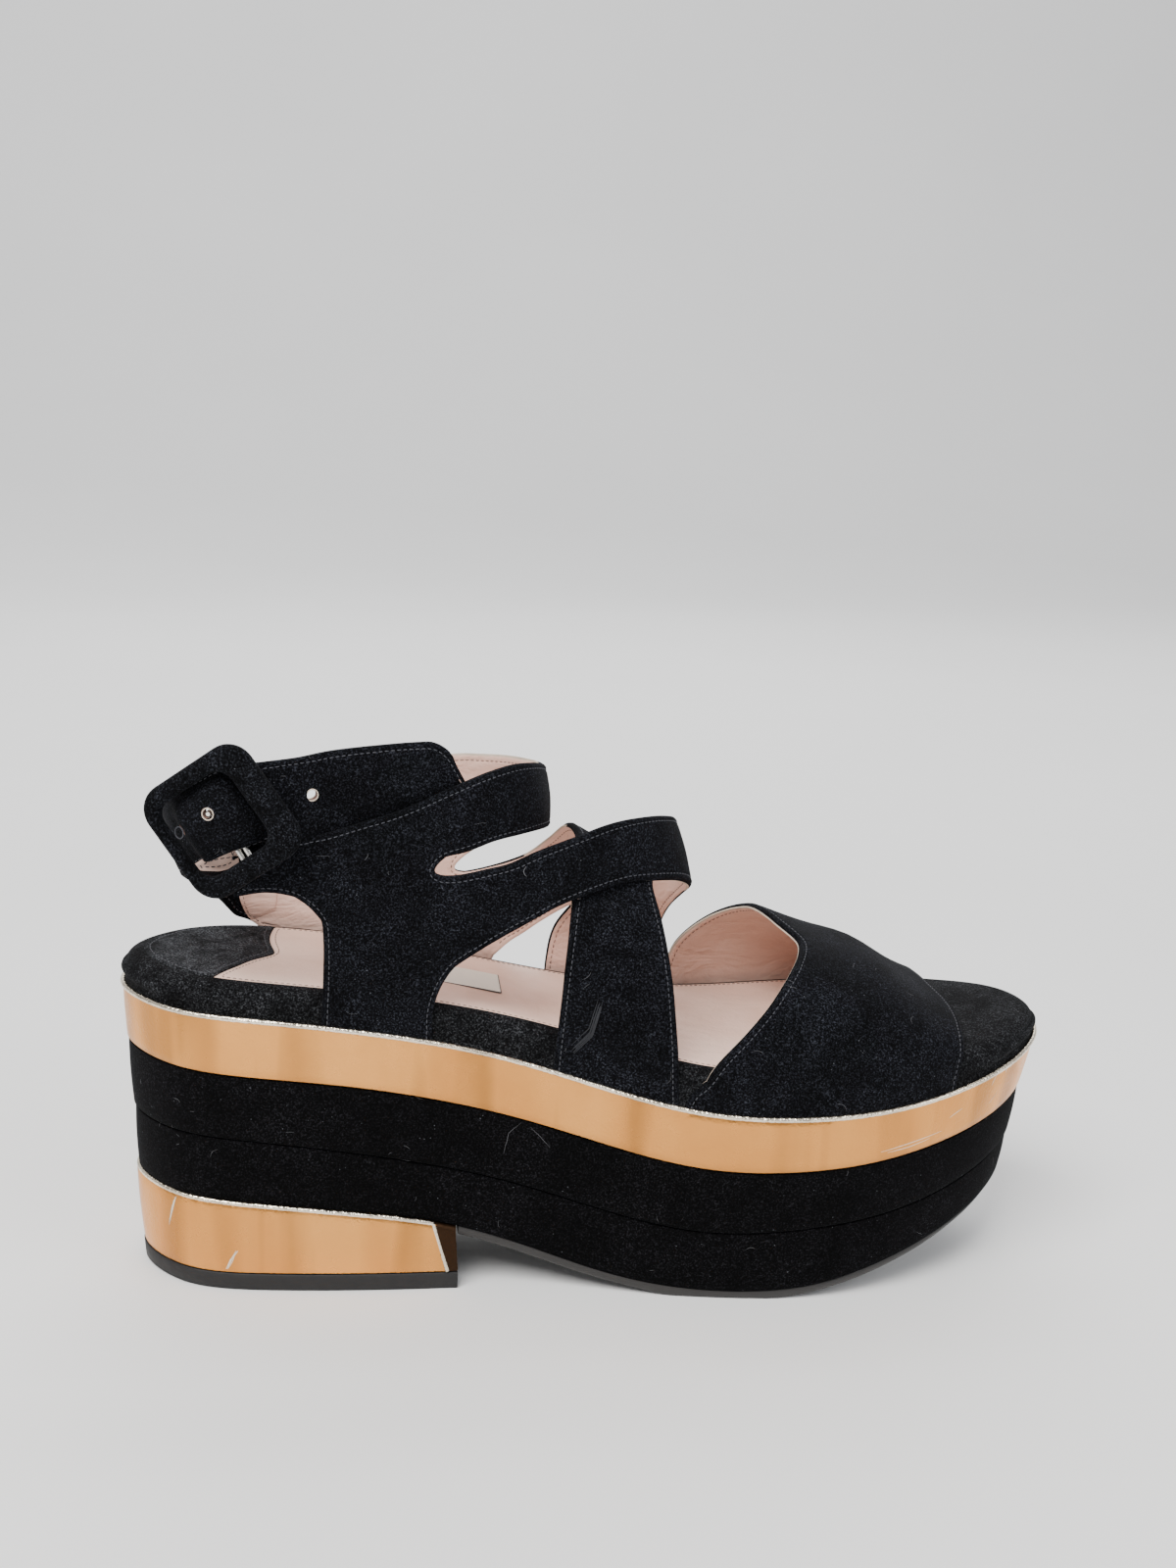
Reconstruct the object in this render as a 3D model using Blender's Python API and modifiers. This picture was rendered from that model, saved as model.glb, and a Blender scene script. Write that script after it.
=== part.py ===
"""Platform sandal, right shoe. Metres, X to the toe, Y to the inner (medial) side, Z up.

Lengths below are millimetres in the shoe's own frame, with X measured from the back of
the heel; place() turns them to metres about the centre of the box.
"""
import math

import bmesh
import bpy
import numpy as np

MM = 0.001
LENGTH = 250.0            # back of heel to tip of toe, along the gold band
CENTRE_X = 125.0          # X of the box centre
CENTRE_Y = 0.0            # Y of the box centre
GAP = 0.3                 # between pieces that lie on each other
LEATHER = 2.1             # suede and lining together
FOOTBED_INSET = 2.7       # footbed side, inside the gold band
STRAP_INSET = 0.2         # outer face of a strap foot, inside the gold band
SOCK_INSET = 5.6          # edge of the pink sock
SOCK_THICK = 1.2
SOCK_END = 206.0          # the sock stops under the toe strap
HEEL_END = 85.0           # front face of the heel block at the floor
HEEL_LIFT = 4.6           # rubber top piece
OUTSOLE_START = 88.6

# Half widths of the gold band at shares of its length.
PLAN_SHARE = (0.0, 0.02, 0.06, 0.15, 0.30, 0.42, 0.55, 0.66, 0.75, 0.85, 0.93, 0.98, 1.0)
PLAN_OUTER = (0.0, 14.2, 23.8, 29.2, 30.7, 31.5, 38.0, 42.2, 42.5, 36.3, 25.8, 13.4, 0.0)
PLAN_INNER = (0.0, 14.0, 24.4, 31.0, 28.0, 27.6, 34.2, 41.0, 43.8, 40.8, 29.5, 17.0, 0.0)
TOE_DRIFT = 3.0           # the tip lies this far to the inner side

# Heights of each surface at stations along the shoe.
HEIGHT_X = (0.0, 30.0, 60.0, 90.0, 120.0, 150.0, 180.0, 210.0, 235.0, 250.0)
FOOTBED_TOP = (85.6, 83.2, 80.7, 76.0, 69.2, 63.3, 62.2, 63.6, 66.6, 68.6)
GOLD_TOP = (76.8, 74.9, 72.1, 66.7, 58.7, 52.5, 52.0, 54.5, 58.5, 61.4)
GOLD_BOTTOM = (62.1, 59.5, 56.9, 51.2, 43.3, 37.2, 37.4, 40.7, 45.2, 48.5)
STEP = (43.4, 41.8, 38.5, 32.7, 24.7, 19.2, 20.8, 25.0, 31.0, 35.0)
BLACK_BOTTOM_X = (0.0, 30.0, 60.0, 82.0, 90.0, 105.0, 120.0, 135.0, 150.0, 165.0, 180.0, 195.0, 210.0, 225.0, 250.0)
BLACK_BOTTOM = (26.4, 24.6, 22.0, 18.7, 16.6, 11.9, 7.2, 4.0, 2.6, 2.6, 4.2, 7.6, 11.6, 16.4, 24.6)
TREAD_X = (86.0, 90.0, 105.0, 120.0, 135.0, 145.0, 155.0, 165.0, 180.0, 195.0, 210.0, 225.0, 250.0)
TREAD = (15.2, 14.1, 9.3, 4.7, 1.5, 0.0, 0.0, 0.0, 1.9, 5.4, 9.6, 14.6, 22.9)


def natural(xs, ys):
    """A natural cubic through the points, as a function; ys may be rows."""
    xs, ys = np.asarray(xs, float), np.asarray(ys, float)
    flat = ys.reshape(len(xs), -1)
    h = np.diff(xs)
    a = np.eye(len(xs))
    b = np.zeros_like(flat)
    for i in range(1, len(xs) - 1):
        a[i, i - 1:i + 2] = h[i - 1], 2 * (h[i - 1] + h[i]), h[i]
        b[i] = 6 * ((flat[i + 1] - flat[i]) / h[i] - (flat[i] - flat[i - 1]) / h[i - 1])
    m = np.linalg.solve(a, b)

    def value(x):
        x = np.asarray(x, float)
        i = np.clip(np.searchsorted(xs, x, side="right") - 1, 0, len(h) - 1)
        l, r, k = (x - xs[i])[..., None], (xs[i + 1] - x)[..., None], h[i][..., None]
        return (m[i] * r**3 + m[i + 1] * l**3) / (6 * k) + (flat[i] / k - m[i] * k / 6) * r + (flat[i + 1] / k - m[i + 1] * k / 6) * l
    return value


def through(xs, ys):
    """As natural(), for one row of heights, held level past its ends."""
    f = natural(xs, np.asarray(ys, float)[:, None])

    def value(x):
        return f(np.clip(x, xs[0], xs[-1]))[..., 0]
    return value


footbed_top = through(HEIGHT_X, FOOTBED_TOP)
gold_top = through(HEIGHT_X, GOLD_TOP)
gold_bottom = through(HEIGHT_X, GOLD_BOTTOM)
step = through(HEIGHT_X, STEP)
black_bottom = through(BLACK_BOTTOM_X, BLACK_BOTTOM)
tread_curve = through(TREAD_X, TREAD)


def tread(x):
    """Underside of the outsole, flat on the floor under the ball of the foot."""
    return np.maximum(tread_curve(x) - 0.2, 0.0)


def plan(inset):
    """Outer and inner half width, as functions of X, of the plan moved in by inset."""
    turn = np.arccos(1 - 2 * np.array(PLAN_SHARE))
    fine = np.linspace(0, math.pi, 400)
    x = LENGTH * (1 - np.cos(fine)) / 2
    drift = TOE_DRIFT * np.clip((x / LENGTH - 0.75) / 0.25, 0, 1) ** 2
    sides = []
    for side, half in ((-1, PLAN_OUTER), (1, PLAN_INNER)):
        y = side * through(turn, half)(fine) + drift
        sides.append(np.stack([x, y], 1))
    ring = np.concatenate([sides[0], sides[1][-2:0:-1]])
    along = np.roll(ring, -1, 0) - np.roll(ring, 1, 0)
    normal = np.stack([-along[:, 1], along[:, 0]], 1)
    normal /= np.linalg.norm(normal, axis=1)[:, None]
    moved = ring + normal * inset
    outer, inner = moved[:400], np.concatenate([moved[:1], moved[:398:-1]])
    keep = []
    for line in (outer, inner):
        order = np.argsort(line[:, 0])
        keep.append(line[order])
    low = max(k[0, 0] for k in keep)
    high = min(k[-1, 0] for k in keep)

    def outer_y(v):
        return np.interp(v, keep[0][:, 0], keep[0][:, 1])

    def inner_y(v):
        return np.interp(v, keep[1][:, 0], keep[1][:, 1])
    return outer_y, inner_y, low, high


# The toe strap's outer face: crest heights along the shoe, over walls that rise straight
# from the gold band to SHOULDER above it and then turn in by a superellipse.
CREST_X = (138.0, 150.0, 160.0, 171.0, 180.0, 189.0, 200.0, 208.0, 217.0, 228.0, 240.0)
CREST = (104.0, 101.0, 98.0, 94.0, 90.4, 87.3, 83.6, 78.6, 73.4, 69.5, 67.5)
SHOULDER = 8.0
ROUND = 2.3
crest = through(CREST_X, CREST)
strap_outer, strap_inner, _, _ = plan(STRAP_INSET)


def instep(x, share):
    """Point of the toe strap's outer face: share -1 outer edge, 0 crest, 1 inner edge; past 1 straight down."""
    turn = np.minimum(np.abs(share), 1) * math.pi / 2
    half_y = np.where(share < 0, strap_outer(x), strap_inner(x))
    mid = 0.12 * (strap_outer(x) + strap_inner(x))
    foot = gold_top(x) + SHOULDER
    y = mid + (half_y - mid) * np.sin(turn) ** (2 / ROUND)
    z = foot + (crest(x) - foot) * np.cos(turn) ** (2 / ROUND)
    z = z - np.maximum(np.abs(share) - 1, 0) * 30.0
    return np.stack([x + 0 * y, y, z], -1)


# Edges of the toe strap along its girth: share as in instep(), then X of its heel-side and toe-side edges.
TOE_STRAP = (
    (-1.45, 141.7, 215.5), (-1.13, 144.2, 217.0), (-0.97, 149.3, 218.0), (-0.83, 157.2, 218.6),
    (-0.67, 164.3, 219.2), (-0.48, 170.6, 220.2), (-0.30, 175.6, 221.2), (-0.14, 178.4, 221.6),
    (-0.04, 174.2, 221.2), (0.12, 171.4, 220.6), (0.33, 169.8, 220.6), (0.47, 166.0, 221.2),
    (0.60, 161.0, 221.8), (0.80, 152.4, 222.0), (1.00, 149.0, 221.4), (1.45, 148.2, 219.0),
)

# The other straps' outer face, as matching points (x, y, z) on the upper and the lower edge.
# quarter_and_instep: outer foot, outer quarter, over the instep, down to the inner edge.
INSTEP_BAND = (
    ((51.0, -30.5, 66.0), (78.9, -30.5, 62.0)),
    ((51.0, -30.5, 74.3), (78.7, -30.5, 70.1)),
    ((51.3, -31.0, 86.0), (78.6, -30.5, 73.5)),
    ((51.2, -32.4, 96.6), (78.7, -30.5, 77.0)),
    ((50.6, -32.9, 101.8), (79.4, -30.6, 80.3)),
    ((48.0, -33.1, 105.6), (80.5, -30.8, 83.4)),
    ((56.0, -33.1, 110.0), (81.8, -31.0, 86.0)),
    ((66.0, -33.1, 113.0), (83.2, -31.2, 88.2)),
    ((77.2, -33.1, 115.1), (85.0, -31.5, 90.0)),
    ((77.7, -33.1, 113.5), (90.0, -31.7, 93.5)),
    ((79.7, -33.1, 112.9), (95.5, -31.6, 96.9)),
    ((84.0, -33.1, 113.0), (102.0, -31.1, 100.5)),
    ((90.6, -32.7, 114.3), (109.0, -30.0, 104.2)),
    ((97.0, -32.0, 115.7), (116.0, -28.2, 106.7)),
    ((104.1, -30.7, 118.6), (122.6, -25.8, 108.4)),
    ((114.7, -27.6, 121.9), (129.3, -22.7, 109.3)),
    ((123.4, -23.6, 124.2), (136.5, -18.4, 108.7)),
    ((132.5, -17.5, 124.7), (144.4, -11.4, 107.0)),
    ((140.1, -9.0, 123.3), (148.8, -4.5, 104.2)),
    ((144.6, 0.0, 120.4), (150.2, 2.5, 100.8)),
    ((144.5, 7.5, 115.5), (149.6, 10.5, 96.5)),
    ((140.5, 16.0, 108.5), (148.2, 18.5, 91.2)),
    ((133.5, 23.0, 100.5), (147.2, 25.8, 84.8)),
    ((126.3, 28.0, 93.5), (146.8, 31.6, 77.5)),
    ((120.3, 30.0, 87.0), (146.8, 35.3, 70.0)),
    ((116.4, 30.2, 81.0), (147.0, 36.6, 62.0)),
    ((114.5, 29.3, 73.0), (147.0, 36.6, 54.0)),
    ((114.2, 28.9, 55.0), (147.0, 36.6, 44.0)),
)
BAND_SEAM = (5, 8)        # rows where its upper edge is the ankle band's lower edge

# ankle_band: buckle end, outer collar, round the front, inner collar, behind the heel,
# through the buckle and inside the outer collar to the cut tip.
ANKLE_BAND = (
    ((29.5, -33.1, 118.3), (29.5, -33.1, 107.8)),
    ((37.0, -33.1, 121.0), (37.0, -33.1, 108.9)),
    ((45.0, -33.1, 122.6), (44.0, -33.1, 107.8)),
    ((51.5, -33.1, 123.8), (48.0, -33.1, 105.6)),
    ((59.3, -33.1, 126.3), (56.0, -33.1, 110.0)),
    ((67.3, -33.1, 128.8), (66.0, -33.1, 113.0)),
    ((74.5, -33.0, 131.8), (77.2, -33.1, 115.1)),
    ((76.5, -33.0, 132.8), (77.9, -33.1, 116.6)),
    ((79.5, -32.8, 134.2), (80.8, -32.9, 118.0)),
    ((86.3, -31.8, 137.0), (86.1, -32.0, 119.1)),
    ((91.8, -29.6, 138.7), (93.1, -29.5, 121.2)),
    ((98.3, -25.0, 139.7), (100.2, -24.7, 121.8)),
    ((103.5, -18.5, 139.0), (106.0, -17.8, 121.5)),
    ((107.2, -9.0, 136.9), (109.3, -9.0, 120.2)),
    ((109.0, 0.0, 134.6), (110.6, 0.0, 118.6)),
    ((108.4, 9.0, 133.6), (109.4, 9.5, 116.6)),
    ((102.5, 21.0, 132.4), (104.3, 20.2, 113.4)),
    ((95.0, 27.4, 131.5), (97.0, 27.2, 107.8)),
    ((88.5, 30.0, 131.0), (90.5, 30.1, 101.8)),
    ((82.0, 31.1, 129.9), (86.8, 30.8, 98.6)),
    ((68.0, 31.5, 126.2), (70.0, 31.2, 95.6)),
    ((53.0, 31.1, 120.2), (52.0, 30.8, 91.4)),
    ((41.0, 30.6, 113.8), (39.5, 30.2, 86.8)),
    ((32.5, 29.3, 109.6), (31.5, 29.2, 83.8)),
    ((27.0, 27.4, 109.6), (27.3, 27.2, 86.6)),
    ((21.0, 23.6, 111.8), (23.0, 23.8, 91.4)),
    ((12.8, 13.5, 116.8), (18.2, 13.0, 97.8)),
    ((9.2, 0.0, 122.2), (15.3, 0.0, 103.6)),
    ((9.6, -15.0, 127.4), (16.4, -15.5, 108.9)),
    ((12.9, -27.5, 132.2), (20.3, -28.5, 114.2)),
    ((18.0, -32.3, 136.4), (26.5, -33.3, 118.8)),
    ((24.8, -34.9, 139.8), (32.6, -35.4, 121.8)),
    ((34.0, -35.4, 141.5), (38.8, -35.4, 122.9)),
    ((45.0, -33.8, 142.7), (46.0, -33.6, 123.6)),
    ((53.0, -31.2, 143.9), (54.0, -30.6, 124.6)),
    ((67.0, -30.3, 145.5), (69.0, -29.9, 126.2)),
    ((80.2, -29.6, 146.2), (92.0, -26.6, 127.6)),
)
INNER_SEAM = (19, 23)     # rows where its lower edge is the forefoot strap's upper edge

# forefoot_strap: inner foot, inner quarter, over the instep under the instep band, outer foot.
FOREFOOT_STRAP = (
    ((38.5, 29.8, 66.0), (98.6, 27.6, 56.0)),
    ((38.0, 29.8, 75.5), (98.5, 27.6, 63.0)),
    ((36.0, 29.7, 80.5), (98.4, 27.6, 68.0)),
    ((31.5, 29.2, 83.8), (98.4, 27.7, 70.3)),
    ((39.5, 30.2, 86.8), (98.5, 27.8, 71.8)),
    ((52.0, 30.8, 91.4), (98.8, 27.9, 73.0)),
    ((70.0, 31.2, 95.6), (99.3, 28.0, 74.0)),
    ((86.8, 30.8, 98.6), (100.2, 28.2, 75.0)),
    ((87.6, 30.8, 97.6), (103.4, 28.5, 77.2)),
    ((89.6, 30.7, 97.3), (107.0, 28.8, 79.5)),
    ((95.0, 30.0, 98.5), (112.0, 28.9, 83.2)),
    ((102.0, 28.4, 101.0), (117.8, 27.4, 87.6)),
    ((108.3, 24.6, 104.8), (124.0, 23.2, 92.5)),
    ((113.2, 17.0, 111.2), (129.8, 17.0, 98.2)),
    ((116.4, 7.0, 117.6), (134.6, 9.0, 103.4)),
    ((117.4, -3.0, 118.9), (137.0, 0.0, 107.0)),
    ((117.2, -12.0, 117.2), (137.6, -8.0, 109.2)),
    ((116.0, -20.0, 113.0), (136.4, -14.5, 109.6)),
    ((114.6, -25.4, 107.2), (135.6, -19.0, 107.2)),
    ((113.4, -28.8, 100.5), (137.4, -24.5, 99.5)),
    ((112.6, -31.0, 95.0), (138.6, -29.5, 92.0)),
    ((111.8, -32.1, 89.0), (139.4, -33.6, 84.5)),
    ((111.2, -32.4, 82.0), (140.0, -37.0, 75.0)),
    ((110.6, -32.2, 74.0), (140.6, -38.5, 66.5)),
    ((109.9, -32.0, 64.0), (141.2, -38.6, 55.6)),
    ((109.4, -32.0, 54.0), (141.6, -38.7, 45.0)),
)
STRAP_SEAM = (3, 7)
HOLE_RADIUS = 1.35
# Strap holes on its outer face, from the rear one: x, y, z, heading of the outward normal.
HOLES = ((17.2, -32.0, 124.4, 226.0), (24.7, -34.6, 130.3, 249.0), (36.3, -35.6, 132.6, 272.0), (48.0, -33.2, 133.6, 283.0))

# The buckle: centre, rise of its long axis to the toe, turn about the vertical, lean of its face.
BUCKLE_AT = (26.85, -37.45, 127.8)
BUCKLE_RISE, BUCKLE_TURN, BUCKLE_LEAN = 36.0, 17.0, 4.0
BUCKLE_SIDE, BUCKLE_WINDOW, BUCKLE_CORNER, BUCKLE_DEEP = 31.5, 19.8, 4.0, 4.2
BAR_RADIUS, BAR_ALONG = 1.1, -1.1
BAR_ENDS = ((14.1, -6.2), (-12.2, -6.9))  # across the buckle, and behind its middle plane
PEG_RADIUS, PEG_ACROSS, PEG_TIP = 0.75, 3.55, -1.3

# Front edge of the suede heel pad across the footbed: share from the outer to the inner side, X.
PAD_EDGE = ((-1.0, 23.5), (-0.8, 25.5), (-0.5, 29.5), (-0.2, 34.0), (0.05, 38.6), (0.2, 38.4), (0.5, 37.4), (0.8, 37.6), (1.0, 38.4))

for data in (bpy.data.objects, bpy.data.meshes, bpy.data.materials, bpy.data.collections):
    for block in list(data):
        data.remove(block)
shoe = bpy.data.collections.new("platform_sandal")
tools = bpy.data.collections.new("cutters")
for collection in (shoe, tools):
    bpy.context.scene.collection.children.link(collection)


def place(points):
    """Shoe frame in millimetres to the object's frame in metres."""
    return (np.asarray(points, float) - (CENTRE_X, CENTRE_Y, 0.0)) * MM


def material(name, colour, rough, metal=0.0):
    m = bpy.data.materials.new(name)
    m.use_nodes = True
    shader = m.node_tree.nodes["Principled BSDF"]
    shader.inputs["Base Color"].default_value = (*colour, 1.0)
    shader.inputs["Roughness"].default_value = rough
    shader.inputs["Metallic"].default_value = metal
    return m


def made(name, points, faces, colour=(0.5, 0.5, 0.5), rough=0.6, metal=0.0, cutter=False):
    mesh = bpy.data.meshes.new(name)
    mesh.from_pydata([tuple(p) for p in place(points)], [], faces)
    work = bmesh.new()
    work.from_mesh(mesh)
    bmesh.ops.remove_doubles(work, verts=work.verts, dist=1e-7)
    if all(len(e.link_faces) == 2 for e in work.edges):
        bmesh.ops.recalc_face_normals(work, faces=work.faces)
    work.to_mesh(mesh)
    work.free()
    obj = bpy.data.objects.new(name, mesh)
    (tools if cutter else shoe).objects.link(obj)
    if cutter:
        obj.hide_render = True
        obj.display_type = "WIRE"
    else:
        mesh.materials.append(material(name, colour, rough, metal))
    return obj


def boolean(obj, other, operation, own=False):
    m = obj.modifiers.new(operation.title(), "BOOLEAN")
    m.object, m.operation, m.solver, m.use_self = other, operation, "EXACT", own
    return m


def apply_all(obj):
    graph = bpy.context.evaluated_depsgraph_get()
    mesh = bpy.data.meshes.new_from_object(obj.evaluated_get(graph))
    obj.modifiers.clear()
    old, obj.data = obj.data, mesh
    bpy.data.meshes.remove(old)


def spaced(count, closed_start=True, closed_end=True):
    """Shares of a length, closer together at an end where the outline closes."""
    t = np.linspace(0, 1, count + 1)
    if closed_start and closed_end:
        return (1 - np.cos(math.pi * t)) / 2
    if closed_start:
        return 1 - np.cos(math.pi * t / 2)
    if closed_end:
        return np.sin(math.pi * t / 2)
    return t


def loop(inset, height, heel=0.0, toe=0.0, start=None, end=None, count=44):
    """Outline at one level as (count + 1) rungs of an outer and an inner point."""
    outer_y, inner_y, low, high = plan(inset)
    a = low + 0.03 if start is None else start
    b = high - 0.03 if end is None else end
    x = a + (b - a) * spaced(count, start is None, end is None)
    moved = x + heel * (1 - x / LENGTH) - toe * x / LENGTH
    z = height(moved) if callable(height) else np.full_like(moved, height)
    return np.stack([np.stack([moved, outer_y(x), z], 1), np.stack([moved, inner_y(x), z], 1)], 1)


def stack(name, loops, **look):
    """Closed body through outlines given from the bottom up, capped by rungs across."""
    n = len(loops[0])
    points = np.concatenate([np.concatenate([l[:, 0], l[::-1, 1]]) for l in loops])
    size = 2 * n
    faces = []
    for j in range(len(loops) - 1):
        for i in range(size):
            k = (i + 1) % size
            faces.append((j * size + i, j * size + k, (j + 1) * size + k, (j + 1) * size + i))
    last = (len(loops) - 1) * size
    for i in range(n - 1):
        a, b = i, i + 1
        c, d = size - 2 - i, size - 1 - i
        faces.append((a, d, c, b))
        faces.append((last + a, last + b, last + c, last + d))
    return made(name, points, faces, **look)


def less(f, amount):
    return lambda x: f(x) - amount


def share_of(low, high, t):
    return lambda x: low(x) + (high(x) - low(x)) * t


def plate(name, x_from, x_to, inset, low, high, along=8, across=8, **look):
    """Thin plate on the footbed between two lines across it, each a function of the share across."""
    outer_y, inner_y, _, _ = plan(inset)
    s = np.linspace(-1, 1, across + 1)
    f = np.linspace(0, 1, along + 1)
    if name in ("heel_pad", "sock_recess"):
        f = spaced(along, True, False)
    grid = []
    for k in f:
        x = x_from(s) + (x_to(s) - x_from(s)) * k
        y = outer_y(x) + (inner_y(x) - outer_y(x)) * (s + 1) / 2
        grid.append(np.stack([x, y], 1))
    grid = np.array(grid)
    rows, cols = grid.shape[:2]
    top = np.concatenate([grid, high(grid[..., 0])[..., None]], 2).reshape(-1, 3)
    under = np.concatenate([grid, low(grid[..., 0])[..., None]], 2).reshape(-1, 3)
    faces = grid_faces(rows, cols)
    count = rows * cols
    faces = faces + [tuple(count + i for i in reversed(face)) for face in faces]
    rim = [i for i in range(cols)] + [r * cols + cols - 1 for r in range(1, rows)]
    rim += [(rows - 1) * cols + c for c in range(cols - 2, -1, -1)] + [r * cols for r in range(rows - 2, 0, -1)]
    faces += [(rim[i], count + rim[i], count + rim[(i + 1) % len(rim)], rim[(i + 1) % len(rim)]) for i in range(len(rim))]
    return made(name, np.concatenate([top, under]), faces, **look)


def grid_faces(rows, cols, base=0):
    return [(base + r * cols + c, base + r * cols + c + 1, base + (r + 1) * cols + c + 1, base + (r + 1) * cols + c)
            for r in range(rows - 1) for c in range(cols - 1)]


def smooth_rows(table, gap, corners=(), edge=0):
    """Rows of edge points to columns about gap apart; each row stays a column, so a seam can be shared.

    At the corner rows one edge (0 upper, 3 lower) turns sharply."""
    rows = np.array([np.concatenate(row) for row in table])
    step_size = np.maximum(np.linalg.norm(np.diff(rows[:, :3], axis=0), axis=1), np.linalg.norm(np.diff(rows[:, 3:], axis=0), axis=1))
    at = np.concatenate([[0], np.cumsum(np.sqrt(step_size))])
    h = np.diff(at)[:, None]
    secant = np.diff(rows, axis=0) / h
    middle = (secant[:-1] * h[1:] + secant[1:] * h[:-1]) / (h[1:] + h[:-1])
    leaving = np.concatenate([secant[:1], middle])
    arriving = np.concatenate([middle, secant[-1:]])
    for row in corners:
        leaving[row, edge:edge + 3] = secant[row, edge:edge + 3]
        arriving[row - 1, edge:edge + 3] = secant[row - 1, edge:edge + 3]
    out, marks = [rows[:1]], [0]
    for i in range(len(rows) - 1):
        n = max(1, int(round(step_size[i] / gap)))
        u = (np.arange(1, n + 1) / n)[:, None]
        out.append((2 * u**3 - 3 * u**2 + 1) * rows[i] + (u**3 - 2 * u**2 + u) * h[i] * leaving[i]
                   + (3 * u**2 - 2 * u**3) * rows[i + 1] + (u**3 - u**2) * h[i] * arriving[i])
        marks.append(marks[-1] + n)
    columns = np.concatenate(out)
    return columns[:, :3], columns[:, 3:], marks


def settle(points):
    """Keep the strap feet on the side of the platform: full hold up to the footbed, easing off above it."""
    points = points.copy()
    x, y, z = points[..., 0], points[..., 1], points[..., 2]
    side = np.where(y < 0, strap_outer(x), strap_inner(x))
    hold = np.clip((footbed_top(x) + 7.0 - z) / 6.0, 0, 1)
    hold = hold * hold * (3 - 2 * hold)
    points[..., 1] = y + (side - y) * hold
    return points


def ribbon(upper, lower, across, crown=0.5):
    """Grid of points across a strap, slightly crowned, whose faces look outward when it starts on the lower edge."""
    t = np.linspace(0, 1, across + 1)[None, :, None]
    grid = lower[:, None] * (1 - t) + upper[:, None] * t
    along = np.gradient(grid, axis=0)
    over = np.gradient(grid, axis=1)
    out = np.cross(over, along)
    out /= np.linalg.norm(out, axis=-1, keepdims=True) + 1e-9
    return grid + out * crown * 4 * t * (1 - t)


def solidified(name, grids, **look):
    """Sheets sharing their seam points, given LEATHER's thickness inward."""
    points, faces = [], []
    for grid in grids:
        rows, cols = grid.shape[:2]
        faces += grid_faces(rows, cols, sum(len(p) for p in points))
        points.append(grid.reshape(-1, 3))
    obj = made(name, np.concatenate(points), faces, **look)
    m = obj.modifiers.new("Leather", "SOLIDIFY")
    m.thickness, m.offset, m.use_even_offset = LEATHER * MM, -1.0, False
    return obj

SUEDE, GOLD, PINK = (0.012, 0.012, 0.014), (0.83, 0.55, 0.24), (0.78, 0.56, 0.5)

# Sole, from the floor up.
stack("heel_top_piece", [loop(2.9, 0.0, 2.6, 0, end=HEEL_END - 0.2, count=30), loop(2.6, HEEL_LIFT, 2.4, 0, end=HEEL_END, count=30)],
      colour=(0.015, 0.015, 0.016), rough=0.7)
under_black = less(black_bottom, GAP)
stack("heel_block", [loop(2.7, HEEL_LIFT + GAP, 2.4, 0, end=HEEL_END - 0.4, count=30),
                     loop(2.3, less(under_black, 1.5), 1.0, 0, end=82.4, count=30),
                     loop(2.0, less(under_black, 0.9), 0.9, 0, end=82.3, count=30),
                     loop(2.3, under_black, 0.9, 0, end=82.0, count=30)], colour=GOLD, rough=0.35, metal=1.0)
stack("outsole", [loop(3.9, tread, 0, 4.6, start=OUTSOLE_START), loop(3.5, less(under_black, 0.0), 0, 4.4, start=OUTSOLE_START)],
      colour=(0.02, 0.017, 0.015), rough=0.5)
stack("platform_lower", [loop(3.1, black_bottom, 0.7, 4.0), loop(2.3, less(step, GAP / 2), 0.8, 3.4)], colour=SUEDE, rough=0.95)
stack("platform_upper", [loop(1.9, lambda x: step(x) + GAP / 2, 0.7, 3.2), loop(0.9, less(gold_bottom, GAP), 0.5, 2.6)], colour=SUEDE, rough=0.95)
stack("platform_band", [loop(0.5, gold_bottom, 0.5, 2.5), loop(0.1, less(gold_top, 1.7), 0.0, 0.1), loop(-0.35, less(gold_top, 1.2)),
                        loop(-0.45, less(gold_top, 0.7)), loop(-0.1, less(gold_top, 0.15)), loop(0.6, gold_top)], colour=GOLD, rough=0.35, metal=1.0)
footbed = stack("footbed", [loop(3.4, lambda x: gold_top(x) + GAP), loop(FOOTBED_INSET, lambda x: gold_top(x) + 1.8),
                            loop(FOOTBED_INSET, less(footbed_top, 3.4)), loop(3.2, less(footbed_top, 1.7)),
                            loop(4.1, less(footbed_top, 0.55)), loop(5.3, footbed_top)], colour=SUEDE, rough=0.95)
recess = plate("sock_recess", lambda s: 0 * s + SOCK_INSET - 0.25, lambda s: 0 * s + SOCK_END + GAP, SOCK_INSET - GAP,
               less(footbed_top, SOCK_THICK + GAP), lambda x: footbed_top(x) + 5.0, along=26, across=2, cutter=True)
boolean(footbed, recess, "DIFFERENCE")
edge_share, edge_x = zip(*PAD_EDGE)
pad_edge = through(edge_share, edge_x)
plate("heel_pad", lambda s: 0 * s + SOCK_INSET + 0.1, pad_edge, SOCK_INSET, less(footbed_top, SOCK_THICK), footbed_top, colour=SUEDE, rough=0.95)
plate("sock", lambda s: pad_edge(s) + GAP, lambda s: 0 * s + SOCK_END, SOCK_INSET, less(footbed_top, SOCK_THICK), footbed_top, along=18,
      colour=PINK, rough=0.5)

# Cutter that trims every strap foot just above the gold band.
trim = stack("strap_trim", [loop(-12.0, lambda x: 0 * x + 20.0), loop(-12.0, lambda x: gold_top(x) + GAP)], cutter=True)

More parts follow.
